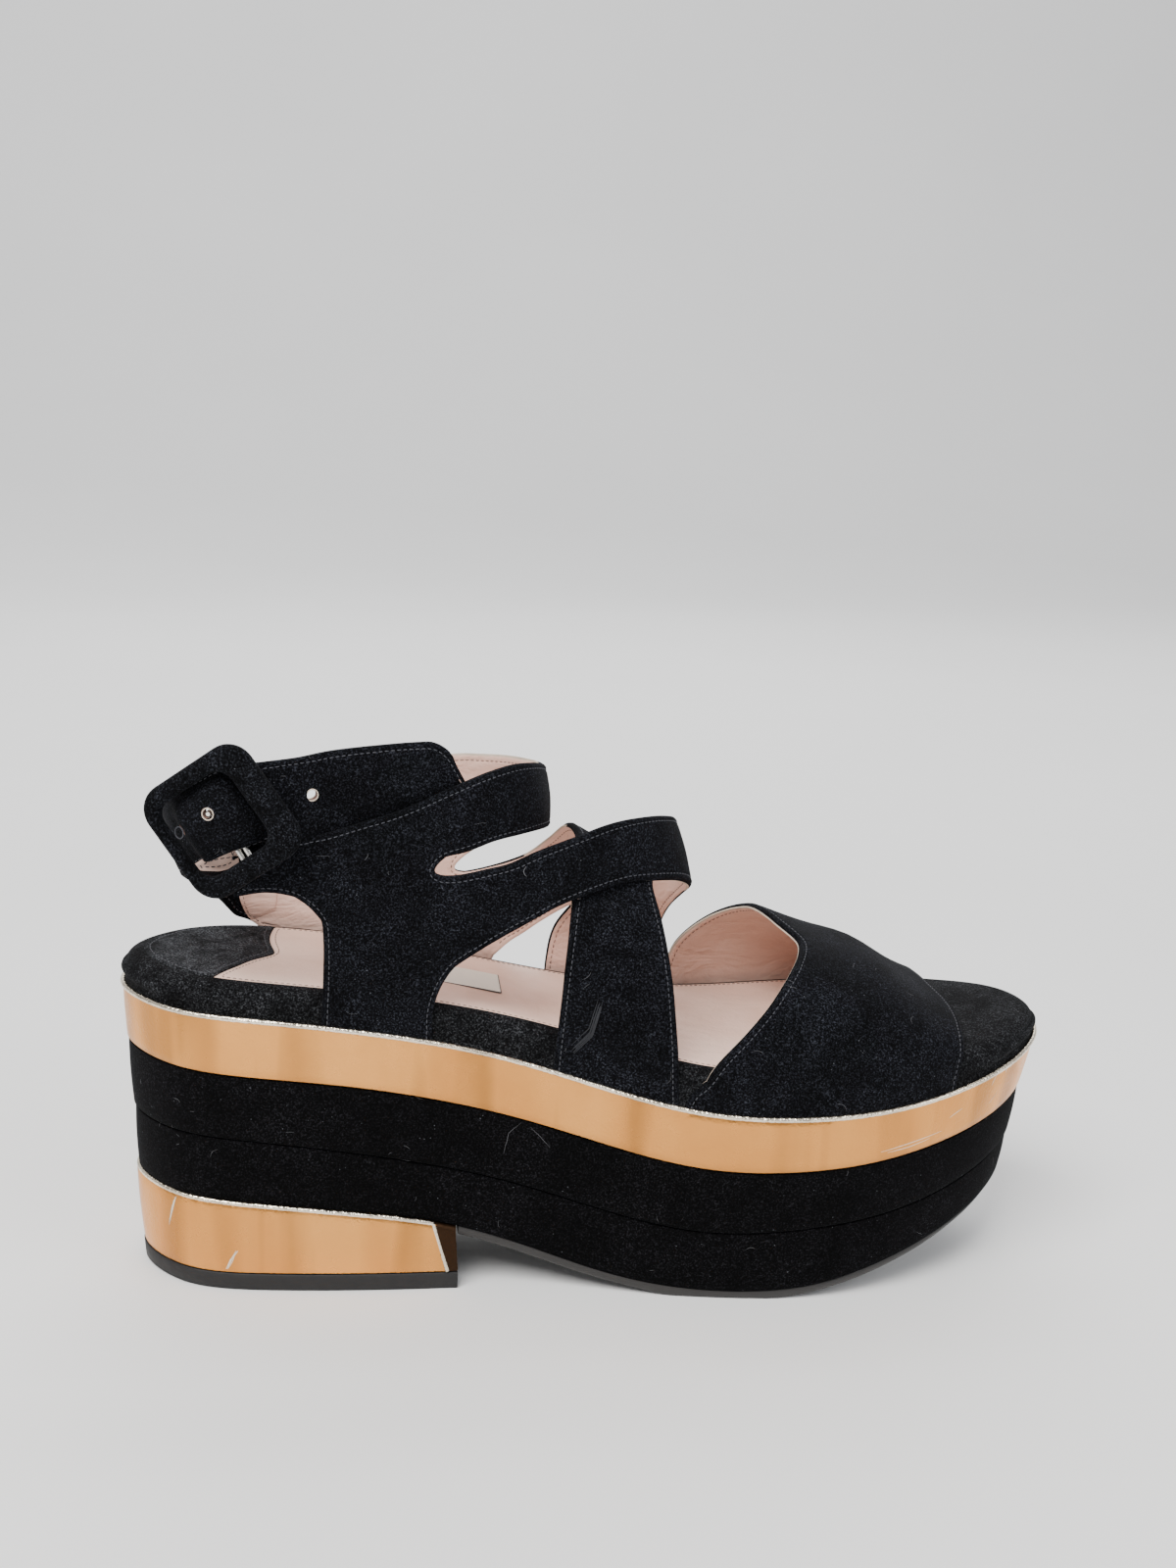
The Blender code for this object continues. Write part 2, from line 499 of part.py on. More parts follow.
# Toe strap.
share, heel_side, toe_side = (np.array(c) for c in zip(*TOE_STRAP))
fine = np.unique(np.concatenate([share, (share[:-1] + share[1:]) / 2]))
fine_x = [np.interp(fine, share, side) for side in (heel_side, toe_side)]
rows_across = np.linspace(0, 1, 12)
grid = np.array([[instep(a + (b - a) * t, s) for t in rows_across] for s, a, b in zip(fine, *fine_x)])
toe_strap = solidified("toe_strap", [grid], colour=SUEDE, rough=0.95)
boolean(toe_strap, trim, "DIFFERENCE")
apply_all(toe_strap)

# Crossed straps, as one sheet with shared seams.
across = 4
ankle_top, ankle_low, ankle_marks = smooth_rows(ANKLE_BAND, 4.6, (3, 6, *INNER_SEAM), 3)
sheets = [settle(ribbon(ankle_low, ankle_top, across))]
for table, (first, last), (at_first, at_last) in ((INSTEP_BAND, BAND_SEAM, (3, 6)), (FOREFOOT_STRAP, STRAP_SEAM, INNER_SEAM)):
    top, low, marks = smooth_rows(table, 4.6, (first, last))
    shared = ankle_low[ankle_marks[at_first]:ankle_marks[at_last] + 1]
    if table is FOREFOOT_STRAP:
        shared = shared[::-1]
    pick = np.linspace(marks[first], marks[last], len(shared))
    middle = np.stack([np.interp(pick, np.arange(len(low)), low[:, c]) for c in range(3)], 1)
    top = np.concatenate([top[:marks[first]], shared, top[marks[last] + 1:]])
    low = np.concatenate([low[:marks[first]], middle, low[marks[last] + 1:]])
    sheets.append(settle(ribbon(top, low, across) if table is FOREFOOT_STRAP else ribbon(low, top, across)))
straps = solidified("crossed_straps", sheets, colour=SUEDE, rough=0.95)
boolean(straps, trim, "DIFFERENCE", own=True)

for number, (x, y, z, heading) in enumerate(HOLES):
    out = np.array([math.cos(math.radians(heading)), math.sin(math.radians(heading)), 0.0])
    side = np.array([-out[1], out[0], 0.0])
    ring = [[(x, y, z) + out * reach + HOLE_RADIUS * (side * math.cos(a) + np.array([0, 0, 1.0]) * math.sin(a))
             for a in np.arange(10) * math.tau / 10] for reach in (-4.5, 2.5)]
    faces = [(i, (i + 1) % 10, 10 + (i + 1) % 10, 10 + i) for i in range(10)] + [tuple(range(9, -1, -1)), tuple(range(10, 20))]
    boolean(straps, made(f"hole_cutter_{number}", np.concatenate(ring), faces, cutter=True), "DIFFERENCE")

# Buckle, built flat in its own plane (along, across, out) and turned into place.
rise, turn, lean = (math.radians(v) for v in (BUCKLE_RISE, BUCKLE_TURN, BUCKLE_LEAN))
out = np.array([-math.sin(turn) * math.cos(lean), -math.cos(turn) * math.cos(lean), -math.sin(lean)])
along = np.array([math.cos(rise) * math.cos(turn), -math.cos(rise) * math.sin(turn), math.sin(rise)])
along -= out * (along @ out)
along /= np.linalg.norm(along)
buckle_axes = np.stack([along, np.cross(out, along), out])


def tube(name, path, sections, closed, **look):
    """Body of the given cross-sections set along a path; closed joins its end to its start."""
    rows, cols = len(path), len(sections[0])
    points = np.concatenate(sections)
    faces = [(r * cols + c, r * cols + (c + 1) % cols, (r + 1) % rows * cols + (c + 1) % cols, (r + 1) % rows * cols + c)
             for r in range(rows if closed else rows - 1) for c in range(cols)]
    if not closed:
        faces += [tuple(range(cols)), tuple(range(rows * cols - 1, (rows - 1) * cols - 1, -1))]
    return made(name, points @ buckle_axes + np.array(BUCKLE_AT), faces, **look)


def rounded(a, power):
    """Point of a unit superellipse at angle a."""
    c, d = math.cos(a), math.sin(a)
    return math.copysign(abs(c) ** (2 / power), c), math.copysign(abs(d) ** (2 / power), d)


half = (BUCKLE_SIDE + BUCKLE_WINDOW) / 4
wide = (BUCKLE_SIDE - BUCKLE_WINDOW) / 4
path = []
for corner in range(4):
    base = corner * math.pi / 2
    flat = half - BUCKLE_CORNER
    centre = np.array([math.cos(base) - math.sin(base), math.sin(base) + math.cos(base)]) * flat
    for a in np.linspace(base, base + math.pi / 2, 5):
        ray = np.array([math.cos(a), math.sin(a)])
        path.append((centre + BUCKLE_CORNER * ray, ray))
    ray = np.array([math.cos(base + math.pi / 2), math.sin(base + math.pi / 2)])
    path.append((half * ray, ray))
turns = np.arange(10) * math.tau / 10 + math.tau / 20
frame = [[(*(at + ray * wide * rounded(a, 2.3)[0]), BUCKLE_DEEP / 2 * rounded(a, 2.3)[1]) for a in turns] for at, ray in path]
tube("buckle_frame", path, np.array(frame), True, colour=SUEDE, rough=0.95)

(c0, n0), (c1, n1) = BAR_ENDS
bend = 1.6
foot = -BUCKLE_DEEP / 2 + 0.1 - GAP
path = [(c0, foot), (c0, n0 + bend), (c0 - bend * 0.3, n0 + bend * 0.3), (c0 - bend, n0), (c1 + bend, n1), (c1 + bend * 0.3, n1 + bend * 0.3), (c1, n1 + bend), (c1, foot)]
bar = []
for i, (c, n) in enumerate(path):
    step_back, step_on = path[max(i - 1, 0)], path[min(i + 1, len(path) - 1)]
    way = np.array([step_on[0] - step_back[0], step_on[1] - step_back[1]])
    way /= np.linalg.norm(way)
    bar.append([(BAR_ALONG + BAR_RADIUS * math.cos(a), c + way[1] * BAR_RADIUS * math.sin(a), n - way[0] * BAR_RADIUS * math.sin(a)) for a in np.arange(8) * math.tau / 8])
buckle_bar = tube("buckle_bar", path, np.array(bar), False, colour=(0.6, 0.6, 0.58), rough=0.3, metal=1.0)
levels = (n1 + 0.2, PEG_TIP - 0.5, PEG_TIP)
peg = [[(BAR_ALONG + r * math.cos(a), PEG_ACROSS + r * math.sin(a), n) for a in np.arange(8) * math.tau / 8] for r, n in zip((PEG_RADIUS, PEG_RADIUS, PEG_RADIUS * 0.6), levels)]
boolean(buckle_bar, tube("peg", levels, np.array(peg), False, cutter=True), "UNION")
apply_all(buckle_bar)

# The rear branch of the quarter is notched where the bar's foot passes.
room = BAR_RADIUS + GAP
notch = [[(BAR_ALONG + x, c, n) for x, n in ((-room, n1 - 3.0), (room, n1 - 3.0), (room, foot), (-room, foot))] for c in (c1 - room, c1 + 4.0)]
boolean(straps, tube("bar_notch", (c1, c0), np.array(notch), False, cutter=True), "DIFFERENCE")
apply_all(straps)
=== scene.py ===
"""Looks of the platform sandal, right shoe, built round its CAD frame.

Lengths are millimetres in the shoe's own frame, X measured from the back of the heel to the
toe, Y to the inner side and Z up; pos() turns them to metres about the centre of the box.
"""
import math

import bpy
import numpy as np
from mathutils import Matrix, Vector, bvhtree, kdtree


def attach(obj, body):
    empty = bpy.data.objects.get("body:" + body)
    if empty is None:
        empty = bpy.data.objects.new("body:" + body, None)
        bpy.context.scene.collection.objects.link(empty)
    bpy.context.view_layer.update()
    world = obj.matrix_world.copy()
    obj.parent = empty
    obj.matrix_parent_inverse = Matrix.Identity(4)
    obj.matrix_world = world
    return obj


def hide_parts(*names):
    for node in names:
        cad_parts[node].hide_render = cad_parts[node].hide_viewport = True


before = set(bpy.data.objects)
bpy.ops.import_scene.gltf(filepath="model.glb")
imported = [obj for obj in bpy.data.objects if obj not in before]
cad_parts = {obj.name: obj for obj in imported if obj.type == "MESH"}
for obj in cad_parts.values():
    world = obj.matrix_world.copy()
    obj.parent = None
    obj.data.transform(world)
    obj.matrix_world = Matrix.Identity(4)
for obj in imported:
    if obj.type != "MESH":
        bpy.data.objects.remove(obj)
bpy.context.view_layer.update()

MM = 0.001
LENGTH = 250.0            # back of heel to tip of toe, along the gold band
CENTRE_X = 125.0          # X of the box centre
CENTRE_Y = 0.0            # Y of the box centre
GAP = 0.3                 # between pieces that lie on each other
LEATHER = 2.1             # suede and lining together
STRAP_INSET = 0.2         # outer face of a strap foot, inside the gold band
SOCK_INSET = 5.6          # edge of the pink sock
SOCK_END = 206.0          # the sock stops under the toe strap
HEEL_END = 85.0           # front face of the heel block at the floor
HEEL_LIFT = 4.6           # rubber top piece
OUTSOLE_START = 88.6

# Half widths of the gold band at shares of its length.
PLAN_SHARE = (0.0, 0.02, 0.06, 0.15, 0.30, 0.42, 0.55, 0.66, 0.75, 0.85, 0.93, 0.98, 1.0)
PLAN_OUTER = (0.0, 14.2, 23.8, 29.2, 30.7, 31.5, 38.0, 42.2, 42.5, 36.3, 25.8, 13.4, 0.0)
PLAN_INNER = (0.0, 14.0, 24.4, 31.0, 28.0, 27.6, 34.2, 41.0, 43.8, 40.8, 29.5, 17.0, 0.0)
TOE_DRIFT = 3.0           # the tip lies this far to the inner side

# Heights of each surface at stations along the shoe.
HEIGHT_X = (0.0, 30.0, 60.0, 90.0, 120.0, 150.0, 180.0, 210.0, 235.0, 250.0)
FOOTBED_TOP = (85.6, 83.2, 80.7, 76.0, 69.2, 63.3, 62.2, 63.6, 66.6, 68.6)
GOLD_TOP = (76.8, 74.9, 72.1, 66.7, 58.7, 52.5, 52.0, 54.5, 58.5, 61.4)
GOLD_BOTTOM = (62.1, 59.5, 56.9, 51.2, 43.3, 37.2, 37.4, 40.7, 45.2, 48.5)
STEP = (43.4, 41.8, 38.5, 32.7, 24.7, 19.2, 20.8, 25.0, 31.0, 35.0)
BLACK_BOTTOM_X = (0.0, 30.0, 60.0, 82.0, 90.0, 105.0, 120.0, 135.0, 150.0, 165.0, 180.0, 195.0, 210.0, 225.0, 250.0)
BLACK_BOTTOM = (26.4, 24.6, 22.0, 18.7, 16.6, 11.9, 7.2, 4.0, 2.6, 2.6, 4.2, 7.6, 11.6, 16.4, 24.6)
TREAD_X = (86.0, 90.0, 105.0, 120.0, 135.0, 145.0, 155.0, 165.0, 180.0, 195.0, 210.0, 225.0, 250.0)
TREAD = (15.2, 14.1, 9.3, 4.7, 1.5, 0.0, 0.0, 0.0, 1.9, 5.4, 9.6, 14.6, 22.9)


def natural(xs, ys):
    """A natural cubic through the points, as a function; ys may be rows."""
    xs, ys = np.asarray(xs, float), np.asarray(ys, float)
    flat = ys.reshape(len(xs), -1)
    h = np.diff(xs)
    a = np.eye(len(xs))
    b = np.zeros_like(flat)
    for i in range(1, len(xs) - 1):
        a[i, i - 1:i + 2] = h[i - 1], 2 * (h[i - 1] + h[i]), h[i]
        b[i] = 6 * ((flat[i + 1] - flat[i]) / h[i] - (flat[i] - flat[i - 1]) / h[i - 1])
    m = np.linalg.solve(a, b)

    def value(x):
        x = np.asarray(x, float)
        i = np.clip(np.searchsorted(xs, x, side="right") - 1, 0, len(h) - 1)
        l, r, k = (x - xs[i])[..., None], (xs[i + 1] - x)[..., None], h[i][..., None]
        bend = (m[i] * r**3 + m[i + 1] * l**3) / (6 * k)
        return bend + (flat[i] / k - m[i] * k / 6) * r + (flat[i + 1] / k - m[i + 1] * k / 6) * l
    return value


def through(xs, ys):
    """As natural(), for one row of heights, held level past its ends."""
    f = natural(xs, np.asarray(ys, float)[:, None])

    def value(x):
        return f(np.clip(x, xs[0], xs[-1]))[..., 0]
    return value


footbed_top = through(HEIGHT_X, FOOTBED_TOP)
gold_top = through(HEIGHT_X, GOLD_TOP)
gold_bottom = through(HEIGHT_X, GOLD_BOTTOM)
step = through(HEIGHT_X, STEP)
black_bottom = through(BLACK_BOTTOM_X, BLACK_BOTTOM)
tread_curve = through(TREAD_X, TREAD)


def tread(x):
    """Underside of the outsole, flat on the floor under the ball of the foot."""
    return np.maximum(tread_curve(x) - 0.2, 0.0)


def plan(inset):
    """Outer and inner half width, as functions of X, of the plan moved in by inset."""
    turn = np.arccos(1 - 2 * np.array(PLAN_SHARE))
    fine = np.linspace(0, math.pi, 400)
    x = LENGTH * (1 - np.cos(fine)) / 2
    drift = TOE_DRIFT * np.clip((x / LENGTH - 0.75) / 0.25, 0, 1) ** 2
    outer, inner = (np.stack([x, side * through(turn, half)(fine) + drift], 1)
                    for side, half in ((-1, PLAN_OUTER), (1, PLAN_INNER)))
    ring = np.concatenate([outer, inner[-2:0:-1]])
    along = np.roll(ring, -1, 0) - np.roll(ring, 1, 0)
    normal = np.stack([-along[:, 1], along[:, 0]], 1)
    normal /= np.linalg.norm(normal, axis=1)[:, None]
    moved = ring + normal * inset
    outer, inner = moved[:400], np.concatenate([moved[:1], moved[:398:-1]])
    outer, inner = outer[np.argsort(outer[:, 0])], inner[np.argsort(inner[:, 0])]
    low, high = max(outer[0, 0], inner[0, 0]), min(outer[-1, 0], inner[-1, 0])
    return lambda x: np.interp(x, *outer.T), lambda x: np.interp(x, *inner.T), low, high


# The toe strap's outer face: crest heights along the shoe, over walls that rise straight
# from the gold band to SHOULDER above it and then turn in by a superellipse.
CREST_X = (138.0, 150.0, 160.0, 171.0, 180.0, 189.0, 200.0, 208.0, 217.0, 228.0, 240.0)
CREST = (104.0, 101.0, 98.0, 94.0, 90.4, 87.3, 83.6, 78.6, 73.4, 69.5, 67.5)
SHOULDER = 8.0
ROUND = 2.3
crest = through(CREST_X, CREST)
strap_outer, strap_inner, _, _ = plan(STRAP_INSET)


def instep(x, share):
    """Point of the toe strap's outer face: share -1 outer edge, 0 crest, 1 inner edge, then straight down."""
    turn = np.minimum(np.abs(share), 1) * math.pi / 2
    half_y = np.where(share < 0, strap_outer(x), strap_inner(x))
    mid = 0.12 * (strap_outer(x) + strap_inner(x))
    foot = gold_top(x) + SHOULDER
    y = mid + (half_y - mid) * np.sin(turn) ** (2 / ROUND)
    z = foot + (crest(x) - foot) * np.cos(turn) ** (2 / ROUND)
    z = z - np.maximum(np.abs(share) - 1, 0) * 30.0
    return np.stack([x + 0 * y, y, z], -1)


# Edges of the toe strap along its girth: share as in instep(), then X of its heel and toe edges.
TOE_STRAP = (
    (-1.45, 141.7, 215.5), (-1.13, 144.2, 217.0), (-0.97, 149.3, 218.0), (-0.83, 157.2, 218.6),
    (-0.67, 164.3, 219.2), (-0.48, 170.6, 220.2), (-0.30, 175.6, 221.2), (-0.14, 178.4, 221.6),
    (-0.04, 174.2, 221.2), (0.12, 171.4, 220.6), (0.33, 169.8, 220.6), (0.47, 166.0, 221.2),
    (0.60, 161.0, 221.8), (0.80, 152.4, 222.0), (1.00, 149.0, 221.4), (1.45, 148.2, 219.0),
)

# The other straps' outer face, as matching points (x, y, z) on the upper and the lower edge.
# quarter_and_instep: outer foot, outer quarter, over the instep, down to the inner edge.
INSTEP_BAND = (
    ((51.0, -30.5, 66.0), (78.9, -30.5, 62.0)),
    ((51.0, -30.5, 74.3), (78.7, -30.5, 70.1)),
    ((51.3, -31.0, 86.0), (78.6, -30.5, 73.5)),
    ((51.2, -32.4, 96.6), (78.7, -30.5, 77.0)),
    ((50.6, -32.9, 101.8), (79.4, -30.6, 80.3)),
    ((48.0, -33.1, 105.6), (80.5, -30.8, 83.4)),
    ((56.0, -33.1, 110.0), (81.8, -31.0, 86.0)),
    ((66.0, -33.1, 113.0), (83.2, -31.2, 88.2)),
    ((77.2, -33.1, 115.1), (85.0, -31.5, 90.0)),
    ((77.7, -33.1, 113.5), (90.0, -31.7, 93.5)),
    ((79.7, -33.1, 112.9), (95.5, -31.6, 96.9)),
    ((84.0, -33.1, 113.0), (102.0, -31.1, 100.5)),
    ((90.6, -32.7, 114.3), (109.0, -30.0, 104.2)),
    ((97.0, -32.0, 115.7), (116.0, -28.2, 106.7)),
    ((104.1, -30.7, 118.6), (122.6, -25.8, 108.4)),
    ((114.7, -27.6, 121.9), (129.3, -22.7, 109.3)),
    ((123.4, -23.6, 124.2), (136.5, -18.4, 108.7)),
    ((132.5, -17.5, 124.7), (144.4, -11.4, 107.0)),
    ((140.1, -9.0, 123.3), (148.8, -4.5, 104.2)),
    ((144.6, 0.0, 120.4), (150.2, 2.5, 100.8)),
    ((144.5, 7.5, 115.5), (149.6, 10.5, 96.5)),
    ((140.5, 16.0, 108.5), (148.2, 18.5, 91.2)),
    ((133.5, 23.0, 100.5), (147.2, 25.8, 84.8)),
    ((126.3, 28.0, 93.5), (146.8, 31.6, 77.5)),
    ((120.3, 30.0, 87.0), (146.8, 35.3, 70.0)),
    ((116.4, 30.2, 81.0), (147.0, 36.6, 62.0)),
    ((114.5, 29.3, 73.0), (147.0, 36.6, 54.0)),
    ((114.2, 28.9, 55.0), (147.0, 36.6, 44.0)),
)
BAND_SEAM = (5, 8)        # rows where its upper edge is the ankle band's lower edge

# ankle_band: buckle end, outer collar, round the front, inner collar, behind the heel,
# through the buckle and inside the outer collar to the cut tip.
ANKLE_BAND = (
    ((29.5, -33.1, 118.3), (29.5, -33.1, 107.8)),
    ((37.0, -33.1, 121.0), (37.0, -33.1, 108.9)),
    ((45.0, -33.1, 122.6), (44.0, -33.1, 107.8)),
    ((51.5, -33.1, 123.8), (48.0, -33.1, 105.6)),
    ((59.3, -33.1, 126.3), (56.0, -33.1, 110.0)),
    ((67.3, -33.1, 128.8), (66.0, -33.1, 113.0)),
    ((74.5, -33.0, 131.8), (77.2, -33.1, 115.1)),
    ((76.5, -33.0, 132.8), (77.9, -33.1, 116.6)),
    ((79.5, -32.8, 134.2), (80.8, -32.9, 118.0)),
    ((86.3, -31.8, 137.0), (86.1, -32.0, 119.1)),
    ((91.8, -29.6, 138.7), (93.1, -29.5, 121.2)),
    ((98.3, -25.0, 139.7), (100.2, -24.7, 121.8)),
    ((103.5, -18.5, 139.0), (106.0, -17.8, 121.5)),
    ((107.2, -9.0, 136.9), (109.3, -9.0, 120.2)),
    ((109.0, 0.0, 134.6), (110.6, 0.0, 118.6)),
    ((108.4, 9.0, 133.6), (109.4, 9.5, 116.6)),
    ((102.5, 21.0, 132.4), (104.3, 20.2, 113.4)),
    ((95.0, 27.4, 131.5), (97.0, 27.2, 107.8)),
    ((88.5, 30.0, 131.0), (90.5, 30.1, 101.8)),
    ((82.0, 31.1, 129.9), (86.8, 30.8, 98.6)),
    ((68.0, 31.5, 126.2), (70.0, 31.2, 95.6)),
    ((53.0, 31.1, 120.2), (52.0, 30.8, 91.4)),
    ((41.0, 30.6, 113.8), (39.5, 30.2, 86.8)),
    ((32.5, 29.3, 109.6), (31.5, 29.2, 83.8)),
    ((27.0, 27.4, 109.6), (27.3, 27.2, 86.6)),
    ((21.0, 23.6, 111.8), (23.0, 23.8, 91.4)),
    ((12.8, 13.5, 116.8), (18.2, 13.0, 97.8)),
    ((9.2, 0.0, 122.2), (15.3, 0.0, 103.6)),
    ((9.6, -15.0, 127.4), (16.4, -15.5, 108.9)),
    ((12.9, -27.5, 132.2), (20.3, -28.5, 114.2)),
    ((18.0, -32.3, 136.4), (26.5, -33.3, 118.8)),
    ((24.8, -34.9, 139.8), (32.6, -35.4, 121.8)),
    ((34.0, -35.4, 141.5), (38.8, -35.4, 122.9)),
    ((45.0, -33.8, 142.7), (46.0, -33.6, 123.6)),
    ((53.0, -31.2, 143.9), (54.0, -30.6, 124.6)),
    ((67.0, -30.3, 145.5), (69.0, -29.9, 126.2)),
    ((80.2, -29.6, 146.2), (92.0, -26.6, 127.6)),
)
INNER_SEAM = (19, 23)     # rows where its lower edge is the forefoot strap's upper edge

# forefoot_strap: inner foot, inner quarter, over the instep under the instep band, outer foot.
FOREFOOT_STRAP = (
    ((38.5, 29.8, 66.0), (98.6, 27.6, 56.0)),
    ((38.0, 29.8, 75.5), (98.5, 27.6, 63.0)),
    ((36.0, 29.7, 80.5), (98.4, 27.6, 68.0)),
    ((31.5, 29.2, 83.8), (98.4, 27.7, 70.3)),
    ((39.5, 30.2, 86.8), (98.5, 27.8, 71.8)),
    ((52.0, 30.8, 91.4), (98.8, 27.9, 73.0)),
    ((70.0, 31.2, 95.6), (99.3, 28.0, 74.0)),
    ((86.8, 30.8, 98.6), (100.2, 28.2, 75.0)),
    ((87.6, 30.8, 97.6), (103.4, 28.5, 77.2)),
    ((89.6, 30.7, 97.3), (107.0, 28.8, 79.5)),
    ((95.0, 30.0, 98.5), (112.0, 28.9, 83.2)),
    ((102.0, 28.4, 101.0), (117.8, 27.4, 87.6)),
    ((108.3, 24.6, 104.8), (124.0, 23.2, 92.5)),
    ((113.2, 17.0, 111.2), (129.8, 17.0, 98.2)),
    ((116.4, 7.0, 117.6), (134.6, 9.0, 103.4)),
    ((117.4, -3.0, 118.9), (137.0, 0.0, 107.0)),
    ((117.2, -12.0, 117.2), (137.6, -8.0, 109.2)),
    ((116.0, -20.0, 113.0), (136.4, -14.5, 109.6)),
    ((114.6, -25.4, 107.2), (135.6, -19.0, 107.2)),
    ((113.4, -28.8, 100.5), (137.4, -24.5, 99.5)),
    ((112.6, -31.0, 95.0), (138.6, -29.5, 92.0)),
    ((111.8, -32.1, 89.0), (139.4, -33.6, 84.5)),
    ((111.2, -32.4, 82.0), (140.0, -37.0, 75.0)),
    ((110.6, -32.2, 74.0), (140.6, -38.5, 66.5)),
    ((109.9, -32.0, 64.0), (141.2, -38.6, 55.6)),
    ((109.4, -32.0, 54.0), (141.6, -38.7, 45.0)),
)
STRAP_SEAM = (3, 7)
HOLE_RADIUS = 1.35
# Strap holes on its outer face, from the rear one: x, y, z, heading of the outward normal.
HOLES = (
    (17.2, -32.0, 124.4, 226.0), (24.7, -34.6, 130.3, 249.0), (36.3, -35.6, 132.6, 272.0), (48.0, -33.2, 133.6, 283.0),
)

# The buckle: centre, rise of its long axis to the toe, turn about the vertical, lean of its face.
BUCKLE_AT = (26.85, -37.45, 127.8)
BUCKLE_RISE, BUCKLE_TURN, BUCKLE_LEAN = 36.0, 17.0, 4.0
BUCKLE_SIDE, BUCKLE_DEEP = 31.5, 4.2
BAR_RADIUS, BAR_ALONG = 1.1, -1.1
BAR_ENDS = ((14.1, -6.2), (-12.2, -6.9))  # across the buckle, and behind its middle plane
PEG_RADIUS, PEG_ACROSS, PEG_TIP = 0.75, 3.55, -1.3

# Front edge of the suede heel pad across the footbed: share from the outer to the inner side, X.
PAD_EDGE = (
    (-1.0, 23.5), (-0.8, 25.5), (-0.5, 29.5), (-0.2, 34.0), (0.05, 38.6), (0.2, 38.4), (0.5, 37.4), (0.8, 37.6), (1.0, 38.4),
)
RUNGS = 150               # pairs of points round one level of the sole
SHELL_EDGES = (0.0, 0.2, 0.5, 0.9, 1.3, 1.7, 2.2, 3.0)
STITCH_INSET = 1.3


def spaced(count, closed_start=True, closed_end=True):
    """Shares of a length, closer together at an end where the outline closes."""
    t = np.linspace(0, 1, count + 1)
    if closed_start and closed_end:
        return (1 - np.cos(math.pi * t)) / 2
    if closed_start:
        return 1 - np.cos(math.pi * t / 2)
    return np.sin(math.pi * t / 2) if closed_end else t


def level(inset, height, heel=0.0, toe=0.0, end=None, start=None, count=RUNGS):
    """Outline at one level as (count + 1) rungs of an outer and an inner point.

    heel and toe draw those ends in; start and end cut the outline off square."""
    outer_y, inner_y, low, high = plan(inset)
    a = low + 0.03 if start is None else start
    b = high - 0.03 if end is None else end
    x = a + (b - a) * spaced(count, start is None, end is None)
    moved = x + heel * (1 - x / LENGTH) - toe * x / LENGTH
    z = height(moved) if callable(height) else np.full_like(moved, height)
    return np.stack([np.stack([moved, outer_y(x), z], 1), np.stack([moved, inner_y(x), z], 1)], 1)


def less(f, amount):
    return lambda x: f(x) - amount


def grid_faces(rows, cols, base=0, round_rows=False, round_cols=False):
    """Quads of a grid of points, whose rows or columns may close on themselves."""
    return [(base + r * cols + c, base + r * cols + (c + 1) % cols,
             base + (r + 1) % rows * cols + (c + 1) % cols, base + (r + 1) % rows * cols + c)
            for r in range(rows - (not round_rows)) for c in range(cols - (not round_cols))]


def smooth_rows(table, gap, corners=(), edge=0):
    """Rows of edge points to columns about gap apart; each row stays a column, so a seam can be shared.

    At the corner rows one edge (0 upper, 3 lower) turns sharply."""
    rows = np.array([np.concatenate(row) for row in table])
    moves = np.diff(rows, axis=0)
    step_size = np.maximum(np.linalg.norm(moves[:, :3], axis=1), np.linalg.norm(moves[:, 3:], axis=1))
    at = np.concatenate([[0], np.cumsum(np.sqrt(step_size))])
    h = np.diff(at)[:, None]
    secant = moves / h
    middle = (secant[:-1] * h[1:] + secant[1:] * h[:-1]) / (h[1:] + h[:-1])
    leaving = np.concatenate([secant[:1], middle])
    arriving = np.concatenate([middle, secant[-1:]])
    for row in corners:
        leaving[row, edge:edge + 3] = secant[row, edge:edge + 3]
        arriving[row - 1, edge:edge + 3] = secant[row - 1, edge:edge + 3]
    out, marks = [rows[:1]], [0]
    for i in range(len(rows) - 1):
        n = max(1, int(round(step_size[i] / gap)))
        u = (np.arange(1, n + 1) / n)[:, None]
        out.append((2 * u**3 - 3 * u**2 + 1) * rows[i] + (u**3 - 2 * u**2 + u) * h[i] * leaving[i]
                   + (3 * u**2 - 2 * u**3) * rows[i + 1] + (u**3 - u**2) * h[i] * arriving[i])
        marks.append(marks[-1] + n)
    columns = np.concatenate(out)
    return columns[:, :3], columns[:, 3:], marks


def settle(points):
    """Keep the strap feet on the side of the platform: full hold up to the footbed, easing off above it."""
    points = points.copy()
    x, y, z = points[..., 0], points[..., 1], points[..., 2]
    side = np.where(y < 0, strap_outer(x), strap_inner(x))
    hold = np.clip((footbed_top(x) + 7.0 - z) / 6.0, 0, 1)
    hold = hold * hold * (3 - 2 * hold)
    points[..., 1] = y + (side - y) * hold
    return points


# General helpers: paths, tubes, threads and meshes.
def pos(points):
    return (np.asarray(points, float) - (CENTRE_X, CENTRE_Y, 0.0)) * MM


def unit(v):
    return v / (np.linalg.norm(v, axis=-1, keepdims=True) + 1e-12)


def turns(count):
    """Angles of a whole turn in equal steps."""
    return np.arange(count) * math.tau / count


def between(at, stations, rows):
    """Rows at the places asked for, straight between their stations."""
    return np.stack([np.interp(at, stations, rows[:, c]) for c in range(rows.shape[1])], 1)


def lengths(path, closed=False):
    """The path, with its first point again at its end if closed, and the length up to each point."""
    line = np.concatenate([path, path[:1]]) if closed else path
    return line, np.concatenate([[0], np.cumsum(np.linalg.norm(np.diff(line, axis=0), axis=1))])


